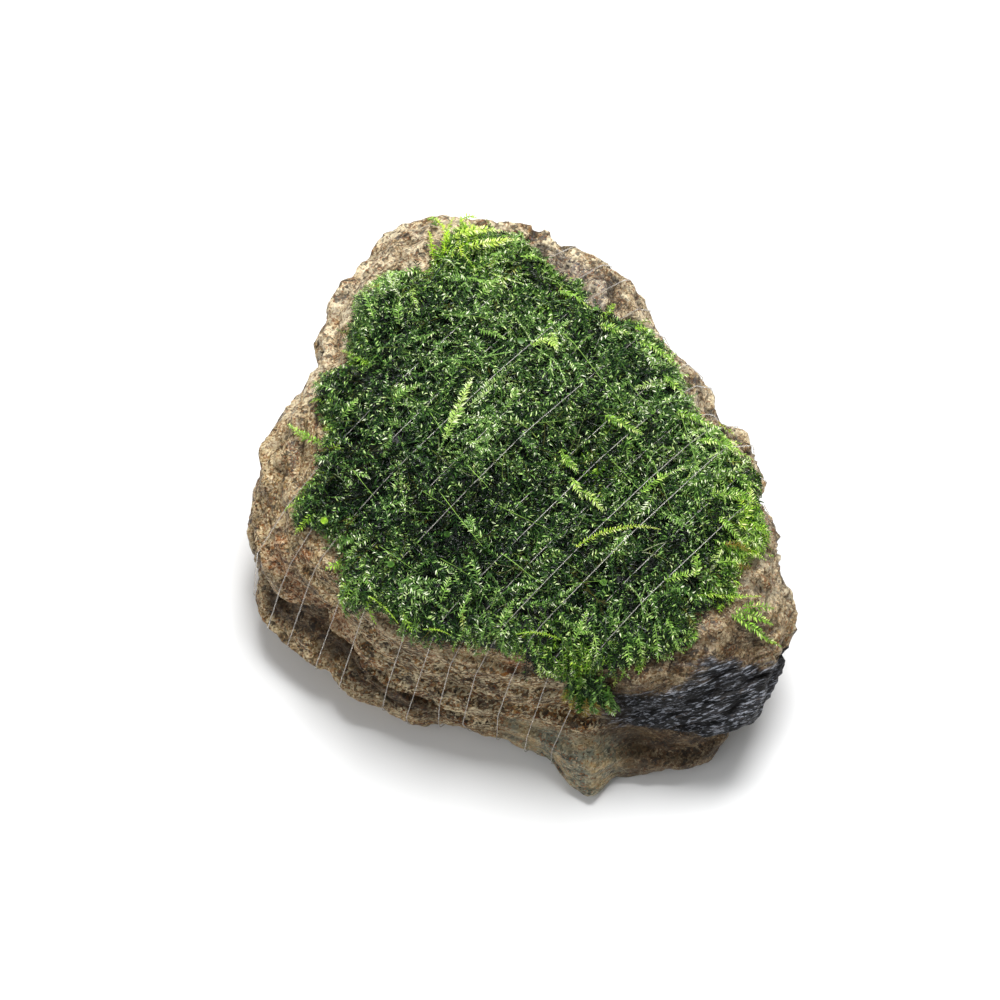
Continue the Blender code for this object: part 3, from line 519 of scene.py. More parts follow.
# Stems on the plan: heading turns evenly by curl, and height goes from start to end with a hump
def stemPath(f):
    s = np.linspace(0.0, 1.0, stations)
    heading = f["heading"][:, None] + f["curl"][:, None] * (s - 0.3 * np.sin(2 * np.pi * s) / 6)
    step = f["length"][:, None] / (stations - 1)
    mid = 0.5 * (heading[:, 1:] + heading[:, :-1])
    zero = np.zeros((len(heading), 1))
    x = f["x"][:, None] + np.concatenate([zero, np.cumsum(np.cos(mid) * step, axis=1)], axis=1)
    y = f["y"][:, None] + np.concatenate([zero, np.cumsum(np.sin(mid) * step, axis=1)], axis=1)
    height = f["start"][:, None] * (1 - s) + f["end"][:, None] * s + f["hump"][:, None] * 4 * s * (1 - s)
    return x, y, heading, height


def along(table, share):
    # value at a share of the way along each stem, straight between its stations
    at = np.clip(share * (stations - 1), 0, stations - 1.001)
    i = np.floor(at).astype(int)
    f = at - i
    rowsOf = np.arange(len(table))[:, None]
    if table.ndim == 3:
        f = f[..., None]
    return table[rowsOf, i] * (1 - f) + table[rowsOf, i + 1] * f


# One piece, or as many as keep each under the most triangles, parted between fronds and never through one
def frondPieces(name, points, faces, values, frond):
    count = int(np.ceil(len(faces) / leafForm["mostTriangles"]))
    share = frond * count // (frond.max() + 1)
    pieces = []
    for number in range(count):
        used, corner = np.unique(faces[share == number], return_inverse=True)
        usedValues = {key: value[used] for key, value in values.items()}
        label = name + str(number + 1) if count > 1 else name
        pieces.append(newPiece(label, points[used], corner.reshape(-1, 3), usedValues, smooth=False))
    return pieces


# Fronds as a list of meshes: three-sided tapering stems, and folded leaves in two rows along each
def growFronds(name, f, rng, fine=True):
    x, y, heading, height = stemPath(f)
    normal = unit(onGround(groundNormals, x, y))
    point = onGround(groundPoints, x, y) + normal * height[..., None]
    way = unit(np.gradient(point, axis=1))
    level = unit(np.cross(normal, way))
    rise = np.cross(way, level)
    roll = f["roll"][:, None, None]
    side = level * np.cos(roll) + rise * np.sin(roll)
    face = np.cross(way, side)
    # stems
    count = len(x)
    share = np.linspace(0.0, 1.0, stations)
    radius = (leafForm["stem"] * (1 - share) + leafForm["stemTip"] * share)[None, :, None, None] * f["thick"][:, None, None, None]
    turn = np.radians([90.0, 210.0, 330.0])
    ring = side[:, :, None] * np.cos(turn)[:, None] + face[:, :, None] * np.sin(turn)[:, None]
    stemPoints = point[:, :, None] + ring * radius
    stemPoints = stemPoints.reshape(-1, 3)
    base = (np.arange(count) * stations * 3)[:, None, None]
    k = (np.arange(stations - 1) * 3)[None, :, None]
    i = np.arange(3)[None, None, :]
    j = (i + 1) % 3
    quadA = np.stack([base + k + i, base + k + j, base + k + 3 + j], axis=-1).reshape(-1, 3)
    quadB = np.stack([base + k + i, base + k + 3 + j, base + k + 3 + i], axis=-1).reshape(-1, 3)
    last = base[..., 0] + 3 * (stations - 1)
    caps = np.concatenate([np.stack([base[:, 0, 0] + c for c in (0, 2, 1)], axis=-1),
                           np.stack([last[:, 0] + c for c in (0, 1, 2)], axis=-1)])
    stemFaces = np.concatenate([quadA, quadB, caps])
    # leaves
    pairs = int(np.ceil(f["length"].max() / leafForm["spacing"]))
    slotShare = (np.arange(2 * pairs) // 2 + 0.3 + 0.5 * (np.arange(2 * pairs) % 2))[None, :]
    at = slotShare * leafForm["spacing"] / f["length"][:, None]
    at = at + rng.uniform(-0.2, 0.2, at.shape) * leafForm["spacing"] / f["length"][:, None]
    kept = (at < 1.0) & (at > f["bare"][:, None]) & (rng.random(at.shape) > f["lost"][:, None])
    at = np.clip(at, 0.0, 1.0)
    sign = np.where(np.arange(2 * pairs) % 2 == 0, 1.0, -1.0)[None, :] + 0 * at
    leafBase, leafWay = along(point, at), unit(along(way, at))
    leafSide, leafFace = unit(along(side, at)), unit(along(face, at))
    angle = np.radians(leafForm["baseAngle"] + (leafForm["tipAngle"] - leafForm["baseAngle"]) * at**2)
    angle = angle + rng.normal(0, 0.12, at.shape)
    size = leafForm["length"] * f["leaf"][:, None] * (0.62 + 0.38 * np.sin(np.pi * np.clip(at, 0, 1)**0.75))
    size = size * (1 - 0.45 * at**5) * rng.uniform(0.82, 1.12, at.shape)
    tilt = rng.normal(0, leafForm["twist"], at.shape) + 0.25
    toward = leafWay * np.cos(angle)[..., None] + leafSide * (sign * np.sin(angle))[..., None]
    toward = unit(toward + leafFace * rng.normal(0.06, 0.16, at.shape)[..., None])
    across = unit(np.cross(leafFace, toward))
    up = np.cross(toward, across)
    across, up = (across * np.cos(tilt)[..., None] + up * np.sin(tilt)[..., None],
                  up * np.cos(tilt)[..., None] - across * np.sin(tilt)[..., None])
    pick = lambda v: v[kept]
    b, d, w, u, z = pick(leafBase), pick(toward), pick(across), pick(up), pick(size)[:, None]
    half = 0.5 * leafForm["width"] * z * (1.0 if fine else 1.15)
    tip = b + d * z - u * leafForm["droop"] * z
    right = b + d * 0.40 * z + w * half + u * leafForm["fold"] * z
    left = b + d * 0.40 * z - w * half + u * leafForm["fold"] * z
    n = len(b)
    if fine:
        rib = b + d * 0.48 * z
        leafPoints = np.stack([b, right, tip, left, rib], axis=1).reshape(-1, 3)
        pattern = np.array([[0, 1, 4], [1, 2, 4], [2, 3, 4], [3, 0, 4]])
        corners, ends = 5, np.array([0.35, 0.8, 1.15, 0.8, 0.6])
    else:
        leafPoints = np.stack([b, right, tip, left], axis=1).reshape(-1, 3)
        pattern = np.array([[0, 1, 2], [0, 2, 3]])
        corners, ends = 4, np.array([0.35, 0.8, 1.15, 0.8])
    offset = len(stemPoints) + corners * np.arange(n)[:, None, None]
    leafFaces = (offset + pattern).reshape(-1, 3)
    # most leaves are dull and a few are painted bright as wet glints: painted glint share * (u^4 - mean)
    paintedLeafGlint = leafForm["paintedLeafGlint"] * (rng.random(at.shape)**4 - 0.2) * f["paintedLeafGlint"][:, None]
    tone = f["tone"][:, None] + f["tipTone"][:, None] * (at**2 - 0.3) + paintedLeafGlint + rng.normal(0, 0.07, at.shape)
    leafTone = (pick(tone)[:, None] + 0.06 * (ends - 0.8)).ravel()
    stemTone = (f["tone"][:, None, None] * 0.8 + 0.10 + 0 * stemPoints.reshape(count, stations, 3, 3)[..., 0]).ravel()
    age = np.concatenate([np.repeat(f["age"] + 0.2, stations * 3),
                          np.repeat(pick(f["age"][:, None] + rng.normal(0, 0.10, at.shape)), corners)])
    fresh = np.concatenate([np.repeat(f["fresh"], stations * 3), np.repeat(pick(f["fresh"][:, None] + 0.0 * at), corners)])
    points = np.concatenate([stemPoints, leafPoints])
    faces = np.concatenate([stemFaces, leafFaces])
    frond = np.concatenate([np.repeat(np.arange(count), stations * 3), np.repeat(np.nonzero(kept)[0], corners)])
    values = {"tone": np.clip(np.concatenate([stemTone, leafTone]), 0, 1), "age": np.clip(age, 0, 1),
              "fresh": np.clip(fresh, 0, 1)}
    pieces = frondPieces(name, points, faces, values, frond[faces[:, 0]])
    print(name, "fronds", count, "leaves", n, "triangles", len(faces), "pieces", len(pieces))
    return pieces


# Light and dark patches of the moss: plan x, y, radius in millimetres and change of tone
tonePatches = [(-8, 42, 9, 0.22), (-22, 27, 7, 0.12), (26, 20, 8, 0.20), (33, 3, 8, 0.16),
               (38, -28, 8, 0.22), (33, -14, 6, 0.10), (-30, 14, 6, 0.12), (-26, 24, 5, 0.05),
               (-17, 22, 7, -0.16), (-22, -8, 9, -0.16), (-10, -16, 12, -0.14), (6, -8, 9, -0.10),
               (8, 28, 6, -0.05), (12, 15, 5, 0.10), (-3, 8, 5, 0.10), (16, -34, 5, 0.02),
               (25, -10, 5, 0.08), (23, -22, 10, -0.20), (10, -28, 6, -0.10), (-6, -32, 5, 0.08), (2, 22, 6, 0.06)]


def patchTone(x, y):
    place = np.stack([x, y, 0 * x], axis=-1)
    tone = 0.13 * latticeNoise(place / 9.0, 51) + 0.10 * latticeNoise(place / 3.5, 52)
    for px, py, radius, change in tonePatches:
        tone = tone + change * np.exp(-((x - px)**2 + (y - py)**2) / radius**2)
    return tone


# Where the growth is young and yellow-green: plan x, y and radius in millimetres
freshPatches = [(-8, 44, 8), (-16, 38, 6), (36, -30, 8), (37, -16, 6), (38, 0, 7), (29, 22, 6), (8, -38, 5),
                (-30, 18, 4), (6, 30, 4), (-33, -24, 5), (14, -3, 4)]


def patchFresh(x, y, share):
    fresh = 0.08 + 0.34 * smoothStep(share, 0.88, 1.0)
    for px, py, radius in freshPatches:
        fresh = fresh + 0.7 * np.exp(-((x - px)**2 + (y - py)**2) / radius**2)
    return fresh


# Roots on a jittered grid inside the outline
def rootsInside(step, rng, inner=0.0, outer=0.97):
    ticks = np.arange(-60.0, 60.0, step)
    x, y = np.meshgrid(ticks, ticks)
    x = (x + 0.5 * step * (np.arange(len(ticks)) % 2)[:, None]).ravel() + rng.uniform(-0.5, 0.5, x.size) * step
    y = y.ravel() + rng.uniform(-0.5, 0.5, y.size) * step
    share = np.hypot(x, y) / onCircle(planEdgeReach, np.degrees(np.arctan2(y, x)))
    kept = (share > inner) & (share < outer)
    return x[kept], y[kept], share[kept]


# Shorter where the tip would pass the outline by more than the overshoot
def heldInside(f, overshoot):
    for _ in range(3):
        x, y = stemPath(f)[:2]
        reach = np.hypot(x, y)
        edge = onCircle(planEdgeReach, np.degrees(np.arctan2(y, x)))
        past = (reach - edge).max(axis=1) - overshoot
        f["length"] = np.maximum(f["length"] - np.clip(1.15 * past, 0, None), 2.2)
    return f


def sowFronds(rng, step, length, start, end, hump, roll, tone, inner=0.0, outer=0.97, outwardPull=0.5,
              tipTone=0.15, leaf=1.0, overshoot=0.6, lost=0.06, age=0.2, toneSpread=0.12):
    x, y, share = rootsInside(step, rng, inner, outer)
    n = len(x)
    away = np.arctan2(y, x)
    pull = outwardPull * smoothStep(share, 0.45, 0.95)
    swirl = 2.2 * latticeNoise(np.stack([x / 11, y / 11, 0 * x], axis=-1), 61)
    heading = np.where(rng.random(n) < pull, away + rng.normal(0, 0.45, n), swirl + rng.uniform(-np.pi, np.pi, n) * 0.8)
    f = {"x": x, "y": y, "heading": heading, "length": rng.uniform(*length, n), "curl": rng.normal(0, 0.7, n),
         "start": rng.uniform(*start, n), "end": rng.uniform(*end, n), "hump": rng.uniform(*hump, n),
         "roll": rng.normal(0, roll, n), "leaf": leaf * rng.uniform(0.8, 1.15, n), "thick": rng.uniform(0.8, 1.2, n),
         "bare": rng.uniform(0, 0.12, n), "lost": np.full(n, lost), "tipTone": np.full(n, tipTone),
         "age": age + 0.12 * rng.normal(0, 1, n), "paintedLeafGlint": np.ones(n),
         "fresh": patchFresh(x, y, share) * rng.uniform(0.3, 1.1, n)}
    f["tone"] = tone + patchTone(x, y) + 0.10 * smoothStep(share, 0.75, 1.0) + rng.normal(0, toneSpread, n)
    return heldInside(f, overshoot)


# Side shoots: start on a parent at a share of its way and leave it at 35 to 55 degrees
def withBranches(f, rng, perFrond=0.7):
    n = len(f["x"])
    parents = np.nonzero(rng.random(n) < perFrond)[0]
    x, y, heading, height = stemPath(f)
    at = rng.uniform(0.2, 0.7, len(parents))
    pick = lambda table: along(table[parents], at[:, None])[:, 0]
    turn = np.where(rng.random(len(parents)) < 0.5, 1, -1) * rng.uniform(0.6, 0.95, len(parents))
    child = {key: value[parents].copy() for key, value in f.items()}
    child.update(x=pick(x), y=pick(y), heading=pick(heading) + turn, start=pick(height),
                 end=pick(height) + rng.uniform(-0.2, 0.5, len(parents)),
                 length=np.maximum(f["length"][parents] * (1 - at) * rng.uniform(0.55, 0.9, len(parents)), 1.6),
                 curl=-0.5 * turn, hump=0.1 * f["hump"][parents], leaf=0.85 * f["leaf"][parents],
                 bare=np.zeros(len(parents)))
    return {key: np.concatenate([f[key], child[key]]) for key in f}


def buildBed():
    azimuths = np.arange(0.0, 360.0, 2.0)
    shares = np.concatenate([np.linspace(0.03, 0.9, 44), [0.93, 0.96, 0.985, 1.0, 1.02, 1.04]])
    azimuth, share = np.meshgrid(azimuths, shares)
    row = share * bedForm["end"] * onCircle(planEdgeRow, azimuth)
    lift = bedLift(azimuth, row) * np.sqrt(np.clip(1.045 - share, 0, 1))**0.35 - 0.15 * (share > 1)
    top = stoneSurface(azimuth, row, lift)
    azimuth, share = np.meshgrid(azimuths, np.array([1.0, 0.9, 0.7, 0.4]))
    under = stoneSurface(azimuth, share * bedForm["end"] * onCircle(planEdgeRow, azimuth), -0.3)
    points = np.concatenate([top, under])
    crown = stoneForm["crownHeight"] + float(bedLift(np.array([0.0]), np.array([0.001]))[0])
    ends = np.array([[0, 0, crown], [0, 0, stoneForm["crownHeight"] - 0.3]])
    allPoints = np.concatenate([ends[:1], points.reshape(-1, 3), ends[1:]])
    return newPiece("mossBed", allPoints, ringFaces(len(points), len(azimuths)))


# Taut turns, each in an upright plane: where the planes stand across the runs, in millimetres
threadForm = {
    "turns": [-22.8, -15.8, -10.9, -4.5, 1.0, 9.0, 13.4, 17.6, 21.9, 26.6, 31.3, 36.0],
    "sink": [0.4, 0.6, 0.2, 0.55, 0.25, 0.5, 0.0, 0.45, -0.3, -0.5, 0.3, -0.5],  # how deep each lies in the moss
    "radius": 0.095, "knot": 2.6, "rise": 1.70, "tailLength": 8.0,  # rise: over the moss's bed
}


# Outermost points of a cut, one for each of many directions: argmax of (point . direction).
# Each is moved out along the middle of the directions that found it.
def tautPath(points, angles, reach):
    directions = np.stack([-np.cos(angles), np.sin(angles)], axis=1)
    index = np.argmax(points @ directions.T, axis=0)
    first = np.concatenate([[0], np.nonzero(np.diff(index))[0] + 1])
    last = np.append(first[1:], len(angles)) - 1
    middle = 0.5 * (angles[first] + angles[last])
    found = points[index[first]] + reach * np.stack([-np.cos(middle), np.sin(middle)], axis=1)
    apart = np.linalg.norm(np.diff(found, axis=0), axis=1)
    return found[np.concatenate([[True], apart > 0.25])]


# Tube through a list of points: rings stand across the mean of the two ways that meet there
def tubeRings(path, radius, sides=8):
    way = unit(np.gradient(path, axis=0))
    across = np.array([np.sin(np.radians(47.0)), -np.cos(np.radians(47.0)), 0.0])
    side = unit(across - way * (way @ across)[:, None])
    over = np.cross(side, way)
    turn = np.linspace(0, 2 * np.pi, sides, endpoint=False)
    return path[:, None] + radius[:, None, None] * (side[:, None] * np.cos(turn)[:, None]
                                                    + over[:, None] * np.sin(turn)[:, None])


def buildThread():
    f = threadForm
    turned = np.radians(stoneForm["threadAzimuth"])
    alongWay, acrossWay = np.array([np.cos(turned), np.sin(turned), 0]), np.array([np.sin(turned), -np.cos(turned), 0])
    cloud = []
    for piece in (stoneBody, mossBed):
        co = np.empty(len(piece.data.vertices) * 3, np.float32)
        piece.data.vertices.foreach_get("co", co)
        cloud.append(co.reshape(-1, 3) / mm)
    cloud[1] = cloud[1] + np.array([0, 0, f["rise"]])
    onMoss = np.repeat([0.0, 1.0], [len(cloud[0]), len(cloud[1])])
    cloud = np.concatenate(cloud).astype(float)
    angles = np.radians(np.arange(-78.0, 258.1, 0.5))
    parts = []
    for across, sink in zip(f["turns"], f["sink"]):
        held = np.abs(cloud @ acrossWay - across) < 0.45
        near = cloud[held]
        cut = np.stack([near @ alongWay, near[:, 2] - sink * onMoss[held]], axis=1)
        over = tautPath(cut, angles, f["radius"] + 0.06)
        parts.append(over[:, :1] * alongWay + across * acrossWay + over[:, 1:] * np.array([0, 0, 1.0]))
    tail = f["tailLength"] * alongWay
    path = np.concatenate([[parts[0][0] + tail, parts[0][0] + 0.88 * tail]] + parts
                          + [[parts[-1][-1] - 0.88 * tail, parts[-1][-1] - tail]])
    radius = np.full(len(path), f["radius"])
    radius[[0, 1, -2, -1]] *= f["knot"]
    rings = tubeRings(path, radius)
    points = np.concatenate([path[:1], rings.reshape(-1, 3), path[-1:]])
    piece = newPiece("nylonThread", points, ringFaces(len(rings), rings.shape[1]))
    piece.data.materials.append(nylonMaterial)
    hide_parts("nylon_thread")
    print("thread:", len(path), "points")


# Loose shoots and fronds given one by one: azimuth and row at the root and at the tip, height over the ground
def handFronds(places, rng, leaf=1.0, tone=0.6, height=(0.5, 0.7), roll=0.25, tipTone=0.2, age=0.15, fresh=0.5,
               bare=0.0, thick=1.1, hump=0.5, paintedLeafGlint=0.5):
    table = np.array(places, float)
    x0, y0 = planOf(table[:, 0], table[:, 1])
    x1, y1 = planOf(table[:, 2], table[:, 3])
    n = len(table)
    curl = table[:, 4]
    return {"x": x0, "y": y0, "heading": np.arctan2(y1 - y0, x1 - x0) - 0.5 * curl, "curl": curl,
            "length": 1.03 * np.hypot(x1 - x0, y1 - y0), "start": np.full(n, height[0]),
            "end": np.full(n, height[1]), "hump": np.full(n, hump), "roll": rng.normal(0, roll, n),
            "leaf": np.full(n, leaf), "thick": np.full(n, thick), "bare": np.full(n, bare), "lost": np.full(n, 0.03),
            "fresh": np.full(n, fresh), "paintedLeafGlint": np.full(n, paintedLeafGlint),
            "tipTone": np.full(n, tipTone), "age": np.full(n, age), "tone": np.full(n, tone)}


# sRGB paint values from 0 to 255, as linear colour
def paint(red, green, blue):
    share = np.array([red, green, blue]) / 255.0
    linear = np.where(share > 0.04045, ((share + 0.055) / 1.055)**2.4, share / 12.92)
    return (*linear.tolist(), 1.0)


class Nodes:
    # short way to add and join the nodes of one tree
    def __init__(self, tree):
        self.tree = tree

    def add(self, kind, values=None, **settings):
        node = self.tree.nodes.new(kind)
        for key, value in settings.items():
            setattr(node, key, value)
        for key, value in (values or {}).items():
            if isinstance(value, bpy.types.NodeSocket):
                self.tree.links.new(value, node.inputs[key])
            else:
                node.inputs[key].default_value = value
        return node

    def math(self, operation, a, b=0.0, clamp=False):
        node = self.add("ShaderNodeMath", {0: a, 1: b}, operation=operation, use_clamp=clamp)
        return node.outputs[0]

    def mix(self, share, a, b, blend="MIX"):
        node = self.add("ShaderNodeMix", {0: share, 6: a, 7: b}, data_type="RGBA", blend_type=blend)
        return node.outputs[2]

    def ramp(self, share, stops):
        node = self.add("ShaderNodeValToRGB", {"Fac": share})
        ramp = node.color_ramp
        while len(ramp.elements) < len(stops):
            ramp.elements.new(1.0)
        for element, (place, colour) in zip(ramp.elements, stops):
            element.position = place
            element.color = colour
        return node.outputs["Color"]

    def between(self, value, low, high):
        node = self.add("ShaderNodeMapRange", {"Value": value, "From Min": low, "From Max": high}, clamp=True)
        return node.outputs["Result"]

    def stored(self, name):
        return self.add("ShaderNodeAttribute", attribute_name=name).outputs["Fac"]


def newGroup(name, inputs, outputs):
    group = bpy.data.node_groups.new(name, "ShaderNodeTree")
    for key, value in inputs.items():
        socket = group.interface.new_socket(key, in_out="INPUT", socket_type="NodeSocketFloat")
        socket.default_value = value
    for key in outputs:
        group.interface.new_socket(key, in_out="OUTPUT", socket_type="NodeSocketFloat")
    nodes = Nodes(group)
    return group, nodes, nodes.add("NodeGroupInput"), nodes.add("NodeGroupOutput")


# Grain of wet schist: small crystals, each pale, dark or between, flattened along the layers
def makeGrainGroup():
    group, n, given, made = newGroup("rockGrain", {"Specks": 2600.0, "Flatness": 1.0}, ("Pale", "Dark", "Relief", "Patch",
                                                                                           "Shade"))
    place = n.add("ShaderNodeTexCoord").outputs["Object"]
    flat = n.add("ShaderNodeCombineXYZ", {"X": 1.0, "Y": 1.0, "Z": given.outputs["Flatness"]})
    tilt = n.add("ShaderNodeVectorRotate", {"Vector": place, "Angle": 0.12, "Axis": (0.0, 1.0, 0.0)})
    squeezed = n.add("ShaderNodeVectorMath", {0: tilt.outputs[0], 1: flat.outputs[0]}, operation="MULTIPLY")
    bent = n.add("ShaderNodeTexNoise", {"Vector": squeezed.outputs[0], "Scale": 900.0, "Detail": 3.0})
    shift = n.add("ShaderNodeVectorMath", {0: bent.outputs["Color"], 1: (0.0009, 0.0009, 0.0009)}, operation="MULTIPLY")
    moved = n.add("ShaderNodeVectorMath", {0: squeezed.outputs[0], 1: shift.outputs[0]}, operation="ADD")
    crystals = n.add("ShaderNodeTexVoronoi", {"Vector": moved.outputs[0], "Scale": given.outputs["Specks"]})
    parts = n.add("ShaderNodeSeparateColor", {"Color": crystals.outputs["Color"]})
    patch = n.add("ShaderNodeTexNoise", {"Vector": squeezed.outputs[0], "Scale": 260.0, "Detail": 5.0, "Roughness": 0.65})
    bias = n.math("MULTIPLY", n.math("SUBTRACT", patch.outputs["Fac"], 0.5), 1.2)
    links = group.links
    links.new(n.between(n.math("ADD", parts.outputs[0], bias), 0.68, 0.90), made.inputs["Pale"])
    links.new(n.between(n.math("ADD", parts.outputs[1], bias), 0.34, 0.10), made.inputs["Dark"])
    links.new(n.math("SUBTRACT", parts.outputs[0], parts.outputs[1]), made.inputs["Relief"])
    links.new(patch.outputs["Fac"], made.inputs["Patch"])
    links.new(n.math("ADD", parts.outputs[2], n.math("MULTIPLY", bias, 0.8)), made.inputs["Shade"])
    return group


stonePaint = {
    "brown": (122, 92, 52), "beige": (164, 138, 92), "deep": (68, 46, 27), "pale": (246, 230, 190),
    "darkGrain": (18, 13, 8), "tan": (188, 162, 122), "sand": (238, 224, 192), "grey": (120, 114, 116),
    # painted sheen and painted glint: reflection and highlights painted on the dark cliff
    "gold": (162, 108, 48), "cliff": (7, 8, 10), "paintedSheen": (44, 46, 52), "cliffBrown": (70, 60, 52), "paintedGlint": (164, 168, 178), "nub": (128, 130, 112), "nubDark": (66, 58, 40),
    "rust": (158, 88, 38), "shade": (64, 44, 26),
}


# Noise drawn out along the fibres of the cliff
def addFibres(n, fineness, detail):
    place = n.add("ShaderNodeTexCoord").outputs["Object"]
    axes = [(fibreForm["along"], 0.13), (fibreForm["across"], 1.0), (fibreForm["into"], 0.28)]
    parts = [n.math("MULTIPLY", n.add("ShaderNodeVectorMath", {0: place, 1: way}, operation="DOT_PRODUCT").outputs["Value"],
                    scale * fineness) for way, scale in axes]
    vector = n.add("ShaderNodeCombineXYZ", dict(zip("XYZ", parts)))
    return n.add("ShaderNodeTexNoise", {"Vector": vector.outputs[0], "Scale": 1.0, "Detail": detail,
                                        "Roughness": 0.65}).outputs["Fac"]


def makeRockMaterial(grain):
    p = {key: paint(*value) for key, value in stonePaint.items()}
    material = bpy.data.materials.new("wetRock")
    material.use_nodes = True
    n = Nodes(material.node_tree)
    shader = n.tree.nodes["Principled BSDF"]
    stored = {key: n.stored(key) for key in ("cavityShade", "cliff", "nub", "rust", "shade", "tan", "grey", "band")}
    coarse = n.add("ShaderNodeGroup", {"Specks": 1500.0, "Flatness": 2.2}, node_tree=grain)
    fine = n.add("ShaderNodeGroup", {"Specks": 3300.0, "Flatness": 1.4}, node_tree=grain)
    layered = n.add("ShaderNodeGroup", {"Specks": 2000.0, "Flatness": 2.4}, node_tree=grain)
    fibres, threads = addFibres(n, 1700.0, 3.0), addFibres(n, 3600.0, 2.0)
    patch = coarse.outputs["Patch"]
    notBand = n.math("SUBTRACT", 1.0, stored["band"])
    calm = n.math("SUBTRACT", 1.0, n.math("MULTIPLY", stored["nub"], 0.35))
    colour = n.ramp(patch, [(0.30, p["deep"]), (0.43, p["brown"]), (0.55, p["beige"]), (0.70, p["brown"])])
    tanColour = n.ramp(fine.outputs["Patch"], [(0.34, p["brown"]), (0.45, p["tan"]), (0.58, p["sand"])])
    colour = n.mix(n.math("MULTIPLY", stored["tan"], n.between(patch, 0.30, 0.44)), colour, tanColour)
    colour = n.mix(n.math("MULTIPLY", stored["grey"], n.between(fine.outputs["Patch"], 0.40, 0.52)), colour, p["grey"])
    colour = n.mix(n.math("MULTIPLY", stored["rust"], n.between(fine.outputs["Patch"], 0.36, 0.52)), colour, p["rust"])
    crystalColours = [(0.08, p["darkGrain"]), (0.26, p["deep"]), (0.42, p["gold"]), (0.60, p["beige"]), (0.86, p["pale"])]
    crystals = n.mix(stored["band"], n.ramp(fine.outputs["Shade"], crystalColours),
                     n.ramp(layered.outputs["Shade"], crystalColours))
    colour = n.mix(n.math("ADD", 0.38, n.math("MULTIPLY", stored["band"], 0.27)), colour, crystals)
    nubColour = n.ramp(patch, [(0.36, p["nubDark"]), (0.46, p["nub"]), (0.66, p["beige"])])
    colour = n.mix(stored["nub"], colour, nubColour)
    # painted shade: colour pulled to the shade paint by the shade mask, and pale specks and ochre dimmed where it is
    # set
    colour = n.mix(n.math("MULTIPLY", stored["shade"], 0.82), colour, p["shade"])
    lit = n.math("SUBTRACT", 1.0, n.math("MULTIPLY", stored["shade"], 0.7))
    pale = n.math("MAXIMUM", n.math("MULTIPLY", coarse.outputs["Pale"], 0.45), n.math("MULTIPLY", fine.outputs["Pale"], 0.85))
    pale = n.math("MAXIMUM", n.math("MULTIPLY", pale, notBand), n.math("MULTIPLY", layered.outputs["Pale"], stored["band"]))
    dark = n.math("MAXIMUM", n.math("MULTIPLY", coarse.outputs["Dark"], notBand), n.math("MULTIPLY", fine.outputs["Dark"], 0.9))
    dark = n.math("MAXIMUM", dark, n.math("MULTIPLY", layered.outputs["Dark"], stored["band"]))
    colour = n.mix(n.math("MULTIPLY", n.math("MULTIPLY", pale, calm), n.math("MULTIPLY", lit, 0.66)), colour, p["pale"])
    colour = n.mix(n.math("MULTIPLY", n.math("MULTIPLY", dark, calm), 0.78), colour, p["darkGrain"])
    ochre = n.math("MULTIPLY", n.between(fine.outputs["Relief"], 0.35, 0.6), 0.45)
    colour = n.mix(n.math("MULTIPLY", ochre, lit), colour, p["rust"])
    # Painted reflection on the dark cliff: a sheen between black and brown along the fibres, and thin painted glints on
    # the fibre ridges
    cliffColour = n.ramp(fibres, [(0.46, p["cliff"]), (0.56, p["paintedSheen"]), (0.70, p["cliffBrown"])])
    paintedGlints = n.math("MULTIPLY", n.between(threads, 0.53, 0.59), n.between(fibres, 0.42, 0.50))
    cliffColour = n.mix(n.math("MULTIPLY", paintedGlints, 0.9), cliffColour, p["paintedGlint"])
    colour = n.mix(stored["cliff"], colour, cliffColour)
    # painted shade: hollows darkened towards the dark grain colour by the cavity shade mask
    colour = n.mix(n.math("MULTIPLY", stored["cavityShade"], 0.78), colour, p["darkGrain"])
    height = n.math("ADD", n.math("MULTIPLY", fine.outputs["Relief"], 0.14), n.math("MULTIPLY", coarse.outputs["Relief"], 0.16))
    height = n.math("ADD", height, patch)
    streaks = n.math("ADD", n.math("MULTIPLY", fibres, 1.6), n.math("MULTIPLY", threads, 0.8))
    height = n.math("ADD", height, n.math("MULTIPLY", streaks, stored["cliff"]))
    bump = n.add("ShaderNodeBump", {"Height": height, "Strength": 0.8, "Distance": 0.0006})
    rough = n.add("ShaderNodeMapRange", {"Value": fine.outputs["Relief"], "From Min": -0.7, "From Max": 0.7,
                                         "To Min": 0.30, "To Max": 0.62})
    links = n.tree.links
    links.new(colour, shader.inputs["Base Color"])
    links.new(rough.outputs["Result"], shader.inputs["Roughness"])
    links.new(bump.outputs["Normal"], shader.inputs["Normal"])
    shader.inputs["Specular IOR Level"].default_value = 0.28
    return material


# Leaf colour by tone: near black blue-green, through mid green, to pale green, the palest stops partly painted
# highlight of wet leaves; young growth is yellower
leafPaint = [(0.00, (2, 11, 4)), (0.18, (8, 29, 14)), (0.36, (42, 72, 35)), (0.54, (104, 140, 74)),
             (0.74, (172, 200, 130)), (1.00, (236, 246, 214))]
freshPaint = [(0.00, (10, 22, 4)), (0.20, (34, 62, 8)), (0.40, (88, 128, 16)), (0.58, (140, 182, 30)),
              (0.78, (188, 218, 66)), (1.00, (236, 246, 150))]
oldPaint = [(0.0, (28, 24, 12)), (0.5, (120, 100, 40)), (1.0, (206, 184, 100))]


